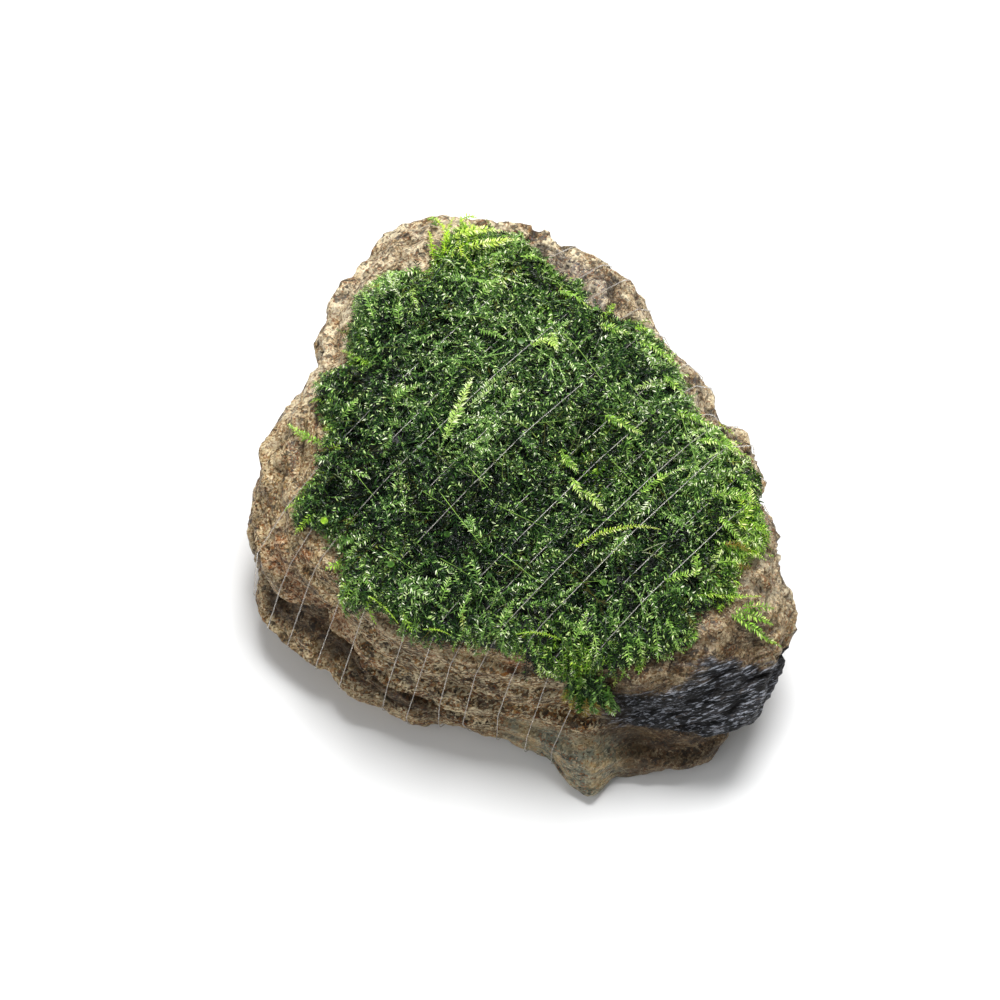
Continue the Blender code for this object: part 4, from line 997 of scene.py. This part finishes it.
def makeLeafMaterial():
    material = bpy.data.materials.new("mossLeaf")
    material.use_nodes = True
    n = Nodes(material.node_tree)
    shader = n.tree.nodes["Principled BSDF"]
    tone, age, fresh = n.stored("tone"), n.stored("age"), n.stored("fresh")
    green = n.ramp(tone, [(place, paint(*value)) for place, value in leafPaint])
    young = n.ramp(tone, [(place, paint(*value)) for place, value in freshPaint])
    green = n.mix(fresh, green, young)
    old = n.ramp(tone, [(place, paint(*value)) for place, value in oldPaint])
    place = n.add("ShaderNodeTexCoord").outputs["Object"]
    spots = n.add("ShaderNodeTexNoise", {"Vector": place, "Scale": 2600.0, "Detail": 1.0})
    colour = n.mix(n.between(age, 0.42, 0.85), green, old)
    colour = n.mix(n.between(spots.outputs["Fac"], 0.42, 0.75), colour, (0.9, 1.0, 0.7, 1.0), blend="OVERLAY")
    n.tree.links.new(colour, shader.inputs["Base Color"])
    shader.inputs["Roughness"].default_value = 0.36
    shader.inputs["Specular IOR Level"].default_value = 0.22
    shader.inputs["Coat Weight"].default_value = 0.16
    shader.inputs["Coat Roughness"].default_value = 0.25
    return material


def makeBedMaterial():
    material = bpy.data.materials.new("mossBed")
    material.use_nodes = True
    n = Nodes(material.node_tree)
    shader = n.tree.nodes["Principled BSDF"]
    place = n.add("ShaderNodeTexCoord").outputs["Object"]
    fibres = n.add("ShaderNodeTexNoise", {"Vector": place, "Scale": 1400.0, "Detail": 4.0})
    # near black: the bed's own dark green, darkened further as painted shade deep between the fronds
    colour = n.ramp(fibres.outputs["Fac"], [(0.35, paint(2, 7, 3)), (0.60, paint(9, 20, 8)), (0.75, paint(28, 42, 18))])
    bump = n.add("ShaderNodeBump", {"Height": fibres.outputs["Fac"], "Strength": 0.8, "Distance": 0.0005})
    n.tree.links.new(colour, shader.inputs["Base Color"])
    n.tree.links.new(bump.outputs["Normal"], shader.inputs["Normal"])
    shader.inputs["Roughness"].default_value = 0.45
    return material


def makeNylonMaterial():
    material = bpy.data.materials.new("clearNylon")
    material.use_nodes = True
    shader = material.node_tree.nodes["Principled BSDF"]
    shader.inputs["Base Color"].default_value = (0.95, 0.91, 0.85, 1.0)
    shader.inputs["Roughness"].default_value = 0.24
    shader.inputs["IOR"].default_value = 1.52
    shader.inputs["Transmission Weight"].default_value = 0.84
    return material


rng = np.random.default_rng(11)
stoneBody = buildStone()
print("stone:", len(stoneBody.data.polygons), "triangles")
mossBed = buildBed()
print("bed:", len(mossBed.data.polygons), "triangles")

mossPieces = []
layers = [
    ("mossLower", dict(step=1.75, length=(5, 9), start=(0.0, 0.4), end=(0.2, 0.8), hump=(0.0, 0.4), roll=0.9,
                       tone=0.12, outer=0.95, overshoot=-0.6), 0.2, False),
    ("mossMiddle", dict(step=1.95, length=(5, 11), start=(0.1, 0.7), end=(0.5, 1.3), hump=(0.1, 0.7), roll=0.7,
                        tone=0.27, overshoot=0.2), 0.6, True),
    ("mossUpper", dict(step=2.2, length=(5, 12), start=(0.3, 1.1), end=(0.9, 1.9), hump=(0.2, 0.9), roll=0.5,
                       tone=0.38, outer=0.93, toneSpread=0.16), 0.8, True),
]
for name, settings, branches, fine in layers:
    fronds = withBranches(sowFronds(rng, **settings), rng, branches)
    mossPieces += growFronds(name, fronds, rng, fine)
edgeFronds = sowFronds(rng, step=1.6, length=(3, 7), start=(0.5, 1.3), end=(0.4, 1.1), hump=(0.1, 0.5), roll=0.35,
                       tone=0.40, inner=0.84, outer=0.97, outwardPull=0.9, tipTone=0.25, overshoot=0.3)
mossPieces += growFronds("mossEdge", withBranches(edgeFronds, rng, 0.4), rng)

# Sprigs that reach out from the edge over bare rock, at random
sprigForm = {"count": 150, "length": (2.0, 5.5), "past": (0.3, 2.6), "leaf": 0.8, "tone": 0.55, "fresh": (0.0, 0.8)}


def sowSprigs(rng):
    f = sprigForm
    azimuth = rng.uniform(0, 360, f["count"])
    edge = onCircle(planEdgeReach, azimuth)
    length = rng.uniform(*f["length"], f["count"])
    outer = edge + rng.uniform(*f["past"], f["count"]) * rng.random(f["count"])
    heading = np.radians(azimuth) + rng.normal(0, 0.55, f["count"])
    x = outer * np.cos(np.radians(azimuth)) - length * np.cos(heading)
    y = outer * np.sin(np.radians(azimuth)) - length * np.sin(heading)
    n, ones = f["count"], np.ones(f["count"])
    return {"x": x, "y": y, "heading": heading, "length": length, "curl": rng.normal(0, 0.5, n),
            "start": rng.uniform(0.6, 1.2, n), "end": rng.uniform(0.25, 0.6, n), "hump": rng.uniform(0.0, 0.4, n),
            "roll": rng.normal(0, 0.3, n), "leaf": f["leaf"] * rng.uniform(0.7, 1.2, n), "thick": ones, "bare": 0 * ones,
            "lost": 0.08 * ones, "tipTone": 0.25 * ones, "age": 0.2 + 0.15 * rng.normal(0, 1, n), "paintedLeafGlint": 0.6 * ones,
            "fresh": rng.uniform(*f["fresh"], n), "tone": f["tone"] + rng.normal(0, 0.12, n)}


mossPieces += growFronds("mossSprigs", sowSprigs(rng), rng)

# Single fronds that stand out: azimuth and row at the root and at the tip, and curl
standing = [
    # the large pale frond left of the middle, and the ferns at the far tip
    ([(187.0, 0.101, 129.0, 0.091, 0.10)], dict(leaf=1.45, tone=0.80, height=(2.2, 3.0), roll=0.1, fresh=0.35)),
    ([(106.0, 0.278, 94.8, 0.304, -0.2), (103.0, 0.257, 91.8, 0.287, 0.15)],
     dict(leaf=1.35, tone=0.86, height=(2.0, 2.6), roll=0.1, fresh=0.75)),
    ([(109.0, 0.263, 103.8, 0.337, -0.3), (103.0, 0.280, 102.6, 0.345, 0.2), (102.6, 0.330, 99.4, 0.340, -0.4),
      (107.0, 0.270, 107.4, 0.35, 0.2), (112.0, 0.262, 110.0, 0.31, 0.1)],
     dict(leaf=0.9, tone=0.72, height=(1.4, 1.2), fresh=1.0)),
    # over the mat: front, right and middle
    ([(293.5, 0.166, 322.2, 0.181, -0.6)], dict(leaf=0.75, tone=0.80, height=(2.4, 2.8), fresh=0.8)),
    ([(313.8, 0.076, 308.2, 0.106, 0.2), (312.0, 0.098, 311.8, 0.130, -0.2), (84.2, 0.124, 75.0, 0.145, 0.2),
      (78.0, 0.146, 69.0, 0.137, -0.2), (75.0, 0.158, 69.0, 0.137, 0.1)],
     dict(leaf=1.1, tone=0.78, height=(2.2, 2.7), fresh=0.45)),
    ([(283.2, 0.309, 288.8, 0.263, 0.2), (283.2, 0.293, 288.2, 0.292, -0.2), (298.8, 0.290, 297.0, 0.335, 0.1),
      (303.0, 0.285, 300.2, 0.335, -0.1), (295.5, 0.298, 294.2, 0.338, 0.1), (306.0, 0.285, 305.0, 0.330, 0.2)],
     dict(leaf=1.0, tone=0.62, height=(2.0, 1.9), fresh=0.25)),
    ([(280.0, 0.312, 267.8, 0.316, 0.5), (245.0, 0.335, 252.0, 0.330, -0.4), (228.5, 0.330, 238.0, 0.345, -0.3)],
     dict(leaf=0.5, tone=0.70, height=(1.7, 1.5), fresh=0.8)),
    ([(317.8, 0.248, 324.0, 0.227, 0.2), (311.2, 0.239, 318.5, 0.245, 0.1), (345.8, 0.300, 344.2, 0.354, 0.2),
      (342.5, 0.265, 344.0, 0.320, -0.2), (337.0, 0.270, 334.0, 0.310, 0.2), (325.5, 0.254, 330.5, 0.305, 0.1),
      (332.0, 0.160, 344.8, 0.209, -0.2), (337.0, 0.053, 321.0, 0.073, 0.3), (13.2, 0.145, 359.5, 0.178, 0.2),
      (11.0, 0.275, 3.8, 0.325, 0.1), (359.5, 0.269, 355.8, 0.350, -0.2), (59.2, 0.238, 48.2, 0.270, 0.1),
      (43.2, 0.270, 30.8, 0.292, -0.2), (27.2, 0.262, 18.5, 0.301, 0.1), (76.8, 0.235, 65.2, 0.244, 0.2),
      (90.0, 0.265, 83.2, 0.275, 0.1)],
     dict(leaf=1.1, tone=0.66, height=(2.0, 2.0), fresh=0.45)),
    ([(136.2, 0.262, 131.8, 0.312, 0.2), (117.0, 0.253, 124.0, 0.280, 0.1), (132.8, 0.225, 127.8, 0.247, -0.2),
      (171.5, 0.269, 164.5, 0.250, 0.3), (162.2, 0.194, 150.5, 0.167, -0.2), (106.0, 0.217, 99.2, 0.205, 0.1),
      (105.0, 0.185, 96.0, 0.223, 0.2), (124.5, 0.034, 88.8, 0.056, 0.1), (108.8, 0.140, 98.0, 0.124, 0.2),
      (246.8, 0.285, 246.5, 0.250, 0.1), (253.0, 0.299, 254.0, 0.258, 0.2), (264.5, 0.304, 267.5, 0.264, -0.1)],
     dict(leaf=1.1, tone=0.62, height=(2.0, 2.2), fresh=0.2)),
    # at the left and lower edges, over bare rock
    ([(150.0, 0.255, 147.0, 0.332, 0.1), (166.0, 0.285, 164.2, 0.357, 0.2), (221.0, 0.330, 223.2, 0.400, 0.2),
      (228.5, 0.340, 232.5, 0.384, 0.2), (196.5, 0.300, 194.2, 0.372, 0.1), (200.5, 0.305, 201.2, 0.365, -0.2),
      (238.0, 0.320, 243.0, 0.352, 0.2), (215.5, 0.320, 214.0, 0.352, 0.2), (177.0, 0.265, 173.0, 0.303, 0.1),
      (344.5, 0.335, 344.0, 0.412, 0.1), (339.5, 0.335, 339.0, 0.412, -0.1), (333.2, 0.300, 335.0, 0.385, 0.1),
      (314.2, 0.265, 327.0, 0.340, 0.1), (60.5, 0.262, 60.5, 0.310, 0.1), (49.0, 0.295, 46.0, 0.338, 0.1)],
     dict(leaf=1.0, tone=0.66, height=(1.2, 0.7), fresh=0.7)),
    # dead brown bits under the hanging clump and at the right edge
    ([(283.0, 0.45, 282.0, 0.515, 0.2), (285.5, 0.45, 285.2, 0.525, -0.1), (287.5, 0.45, 288.0, 0.512, 0.1),
      (289.5, 0.45, 290.4, 0.505, 0.2), (281.0, 0.43, 280.0, 0.495, 0.2), (329.0, 0.285, 331.0, 0.335, 0.2),
      (331.0, 0.280, 334.0, 0.330, -0.2)],
     dict(leaf=1.0, tone=0.56, height=(2.2, 1.4), age=0.85, fresh=0.0)),
]
# Round leaves of another plant on the moss: each a shallow cup of eight rim points around its middle
roundForm = {"radius": (0.38, 0.62), "cup": 0.14, "lift": 1.9, "tilt": 0.45}
roundPlaces = [(203.5, 0.300), (243.2, 0.160), (254.8, 0.193), (258.8, 0.229), (237.2, 0.190), (189.2, 0.136),
               (175.5, 0.262), (64.0, 0.255), (197.0, 0.028), (282.5, 0.245), (297.0, 0.218), (298.5, 0.046),
               (12.2, 0.232), (352.0, 0.262), (133.8, 0.245), (106.8, 0.202), (89.8, 0.128), (228.0, 0.270)]


def buildRoundLeaves(rng):
    f = roundForm
    places = np.array(roundPlaces)
    count = len(places)
    x, y = planOf(places[:, 0], places[:, 1])
    normal = unit(unit(onGround(groundNormals, x, y)) + rng.normal(0, f["tilt"], (count, 3)))
    middle = onGround(groundPoints, x, y) + unit(onGround(groundNormals, x, y)) * f["lift"]
    side = unit(np.cross(normal, np.array([0.3, 1.0, 0.1])))
    ahead = np.cross(normal, side)
    radius = rng.uniform(*f["radius"], count)[:, None, None]
    turn = np.linspace(0, 2 * np.pi, 8, endpoint=False)[None, :, None]
    rim = (middle[:, None] + radius * (1.15 * side[:, None] * np.cos(turn) + ahead[:, None] * np.sin(turn))
           + f["cup"] * normal[:, None])
    points = np.concatenate([middle[:, None], rim], axis=1).reshape(-1, 3)
    k = np.arange(8)
    pattern = np.stack([0 * k, 1 + k, 1 + (k + 1) % 8], axis=-1)
    faces = (9 * np.arange(count)[:, None, None] + pattern).reshape(-1, 3)
    tone = np.repeat(np.where(np.arange(count) == 0, 0.62, rng.uniform(0.30, 0.44, count)), 9)
    tone = tone + np.tile(np.array([-0.06] + [0.05, 0.0] * 4), count)
    fresh = np.repeat(np.where(np.arange(count) == 0, 0.8, 0.25), 9)
    return newPiece("roundLeaves", points, faces, {"tone": tone, "age": 0.1 + 0 * tone, "fresh": fresh})


# Long bare stems that lie across the mat
bareStems = [(69.2, 0.170, 21.0, 0.179, 0.1), (219.5, 0.143, 252.8, 0.188, 0.1), (192.8, 0.232, 205.5, 0.221, 0.1),
             (240.2, 0.227, 255.8, 0.242, 0.1), (214.2, 0.160, 227.5, 0.155, 0.1), (216.0, 0.206, 226.2, 0.172, 0.0),
             (221.0, 0.259, 236.0, 0.260, 0.1), (217.5, 0.088, 247.8, 0.103, 0.1), (158.2, 0.181, 166.0, 0.118, 0.1),
             (165.0, 0.133, 183.5, 0.103, 0.1), (261.8, 0.194, 277.0, 0.235, 0.1), (349.2, 0.112, 332.0, 0.160, 0.1),
             (347.2, 0.187, 331.2, 0.206, 0.1), (7.0, 0.272, 344.8, 0.253, 0.1), (120.0, 0.190, 104.0, 0.150, 0.1),
             (285.0, 0.230, 296.0, 0.215, 0.1), (255.0, 0.120, 285.0, 0.150, 0.1), (30.0, 0.200, 12.0, 0.235, 0.1)]
for number, (places, settings) in enumerate(standing):
    mossPieces += growFronds("standingFronds" + str(number + 1), handFronds(places, rng, **settings), rng)
mossPieces += growFronds("bareStems", handFronds(bareStems, rng, tone=0.62, height=(2.0, 2.3), bare=2.0, thick=0.8,
                                                 hump=0.3, fresh=0.3), rng)

mossPieces.append(buildRoundLeaves(rng))

grain = makeGrainGroup()
rockMaterial, leafMaterial = makeRockMaterial(grain), makeLeafMaterial()
bedMaterial, nylonMaterial = makeBedMaterial(), makeNylonMaterial()
stoneBody.data.materials.append(rockMaterial)
mossBed.data.materials.append(bedMaterial)
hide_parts("stone")
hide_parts("moss_mat")
for piece in mossPieces:
    piece.data.materials.append(leafMaterial)

# Loose shoots that trail over bare rock: azimuth and row at the root and at the tip, and curl
looseShoots = {
    "shoot_left": [(178.0, 0.300, 170.0, 0.420, -0.35)],
    "shoot_back": [(107.5, 0.330, 108.2, 0.425, 0.1)],
    "shoot_corner": [(319.5, 0.300, 322.5, 0.425, 0.15)],
    "shoot_right_lower": [(323.0, 0.300, 327.0, 0.395, 0.1), (321.0, 0.300, 324.5, 0.365, 0.1)],
    "shoot_right_upper": [(335.0, 0.300, 336.5, 0.400, -0.1)],
}
for node, places in looseShoots.items():
    label = node.replace("shoot_", "shoot").title().replace("_", "")
    piece = growFronds(label, handFronds(places, rng, leaf=1.25), rng)[0]
    piece.data.materials.append(leafMaterial)
    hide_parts(node)

hangingForm = {"azimuth": 286.0, "row": 0.455, "halfAngle": 4.8, "halfRow": 0.056}
h = hangingForm
spots = rng.uniform(-1, 1, (400, 2))
spots = spots[np.hypot(*spots.T) < 1.0][:90]
hanging = handFronds([(h["azimuth"] + h["halfAngle"] * a, h["row"] - 0.045 + h["halfRow"] * b,
                       h["azimuth"] + 1.2 * h["halfAngle"] * a, h["row"] + 0.015 + h["halfRow"] * b, 0.6 * a)
                      for a, b in spots], rng, leaf=1.3, tone=0.40, height=(1.2, 1.8), roll=0.7)
hanging["tone"] = 0.14 + 0.46 * rng.random(len(spots))
hanging["fresh"] = rng.uniform(0.0, 0.4, len(spots))
hanging["start"] = rng.uniform(0.8, 2.0, len(spots))
hanging["end"] = rng.uniform(0.5, 2.0, len(spots))
tuft = growFronds("hangingClump", hanging, rng)[0]
tuft.data.materials.append(leafMaterial)
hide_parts("hanging_tuft")

buildThread()

def plainPlane(name, half, colour):
    mesh = bpy.data.meshes.new(name)
    mesh.from_pydata([(-half, -half, 0), (half, -half, 0), (half, half, 0), (-half, half, 0)], [], [(0, 1, 2, 3)])
    plane = bpy.data.objects.new(name, mesh)
    bpy.context.scene.collection.objects.link(plane)
    material = bpy.data.materials.new(name)
    material.use_nodes = True
    material.node_tree.nodes["Principled BSDF"].inputs["Base Color"].default_value = colour
    material.node_tree.nodes["Principled BSDF"].inputs["Roughness"].default_value = 0.9
    plane.data.materials.append(material)
    return plane


plainPlane("floor", 3.0, (0.90, 0.90, 0.90, 1.0))

lightForm = {
    "key": {"place": (0.12, 0.42, 0.95), "size": 0.55, "power": 14.8},
    "fill": {"place": (-0.75, -0.70, 0.85), "size": 0.9, "power": 4.0},
    "world": (0.96, 0.99, 1.0, 1.0), "worldPower": 0.27,
}


def addLight(name, place, size, power):
    light = bpy.data.lights.new(name, "AREA")
    light.size = size
    light.energy = power
    lamp = bpy.data.objects.new(name, light)
    lamp.location = place
    lamp.rotation_euler = (-Vector(place)).to_track_quat("-Z", "Y").to_euler()
    bpy.context.scene.collection.objects.link(lamp)


for name in ("key", "fill"):
    addLight(name, **lightForm[name])
world = bpy.data.worlds.new("studio")
bpy.context.scene.world = world
world.use_nodes = True
world.node_tree.nodes["Background"].inputs["Color"].default_value = lightForm["world"]
world.node_tree.nodes["Background"].inputs["Strength"].default_value = lightForm["worldPower"]
bpy.context.scene.view_settings.view_transform = "Standard"

cameraForm = {"target": (-0.0035, -0.004, 0.018), "elevation": 60.0, "distance": 0.60, "lens": 124.2}
camera = bpy.data.cameras.new("camera")
camera.lens, camera.sensor_width = cameraForm["lens"], 36.0
camera.clip_start, camera.clip_end = 0.01, 10.0
rig = bpy.data.objects.new("camera", camera)
elevation = np.radians(cameraForm["elevation"])
tx, ty, tz = cameraForm["target"]
rig.location = (tx, ty - cameraForm["distance"] * np.cos(elevation), tz + cameraForm["distance"] * np.sin(elevation))
rig.rotation_euler = (np.radians(90.0) - elevation, 0.0, 0.0)
bpy.context.scene.collection.objects.link(rig)
bpy.context.scene.camera = rig
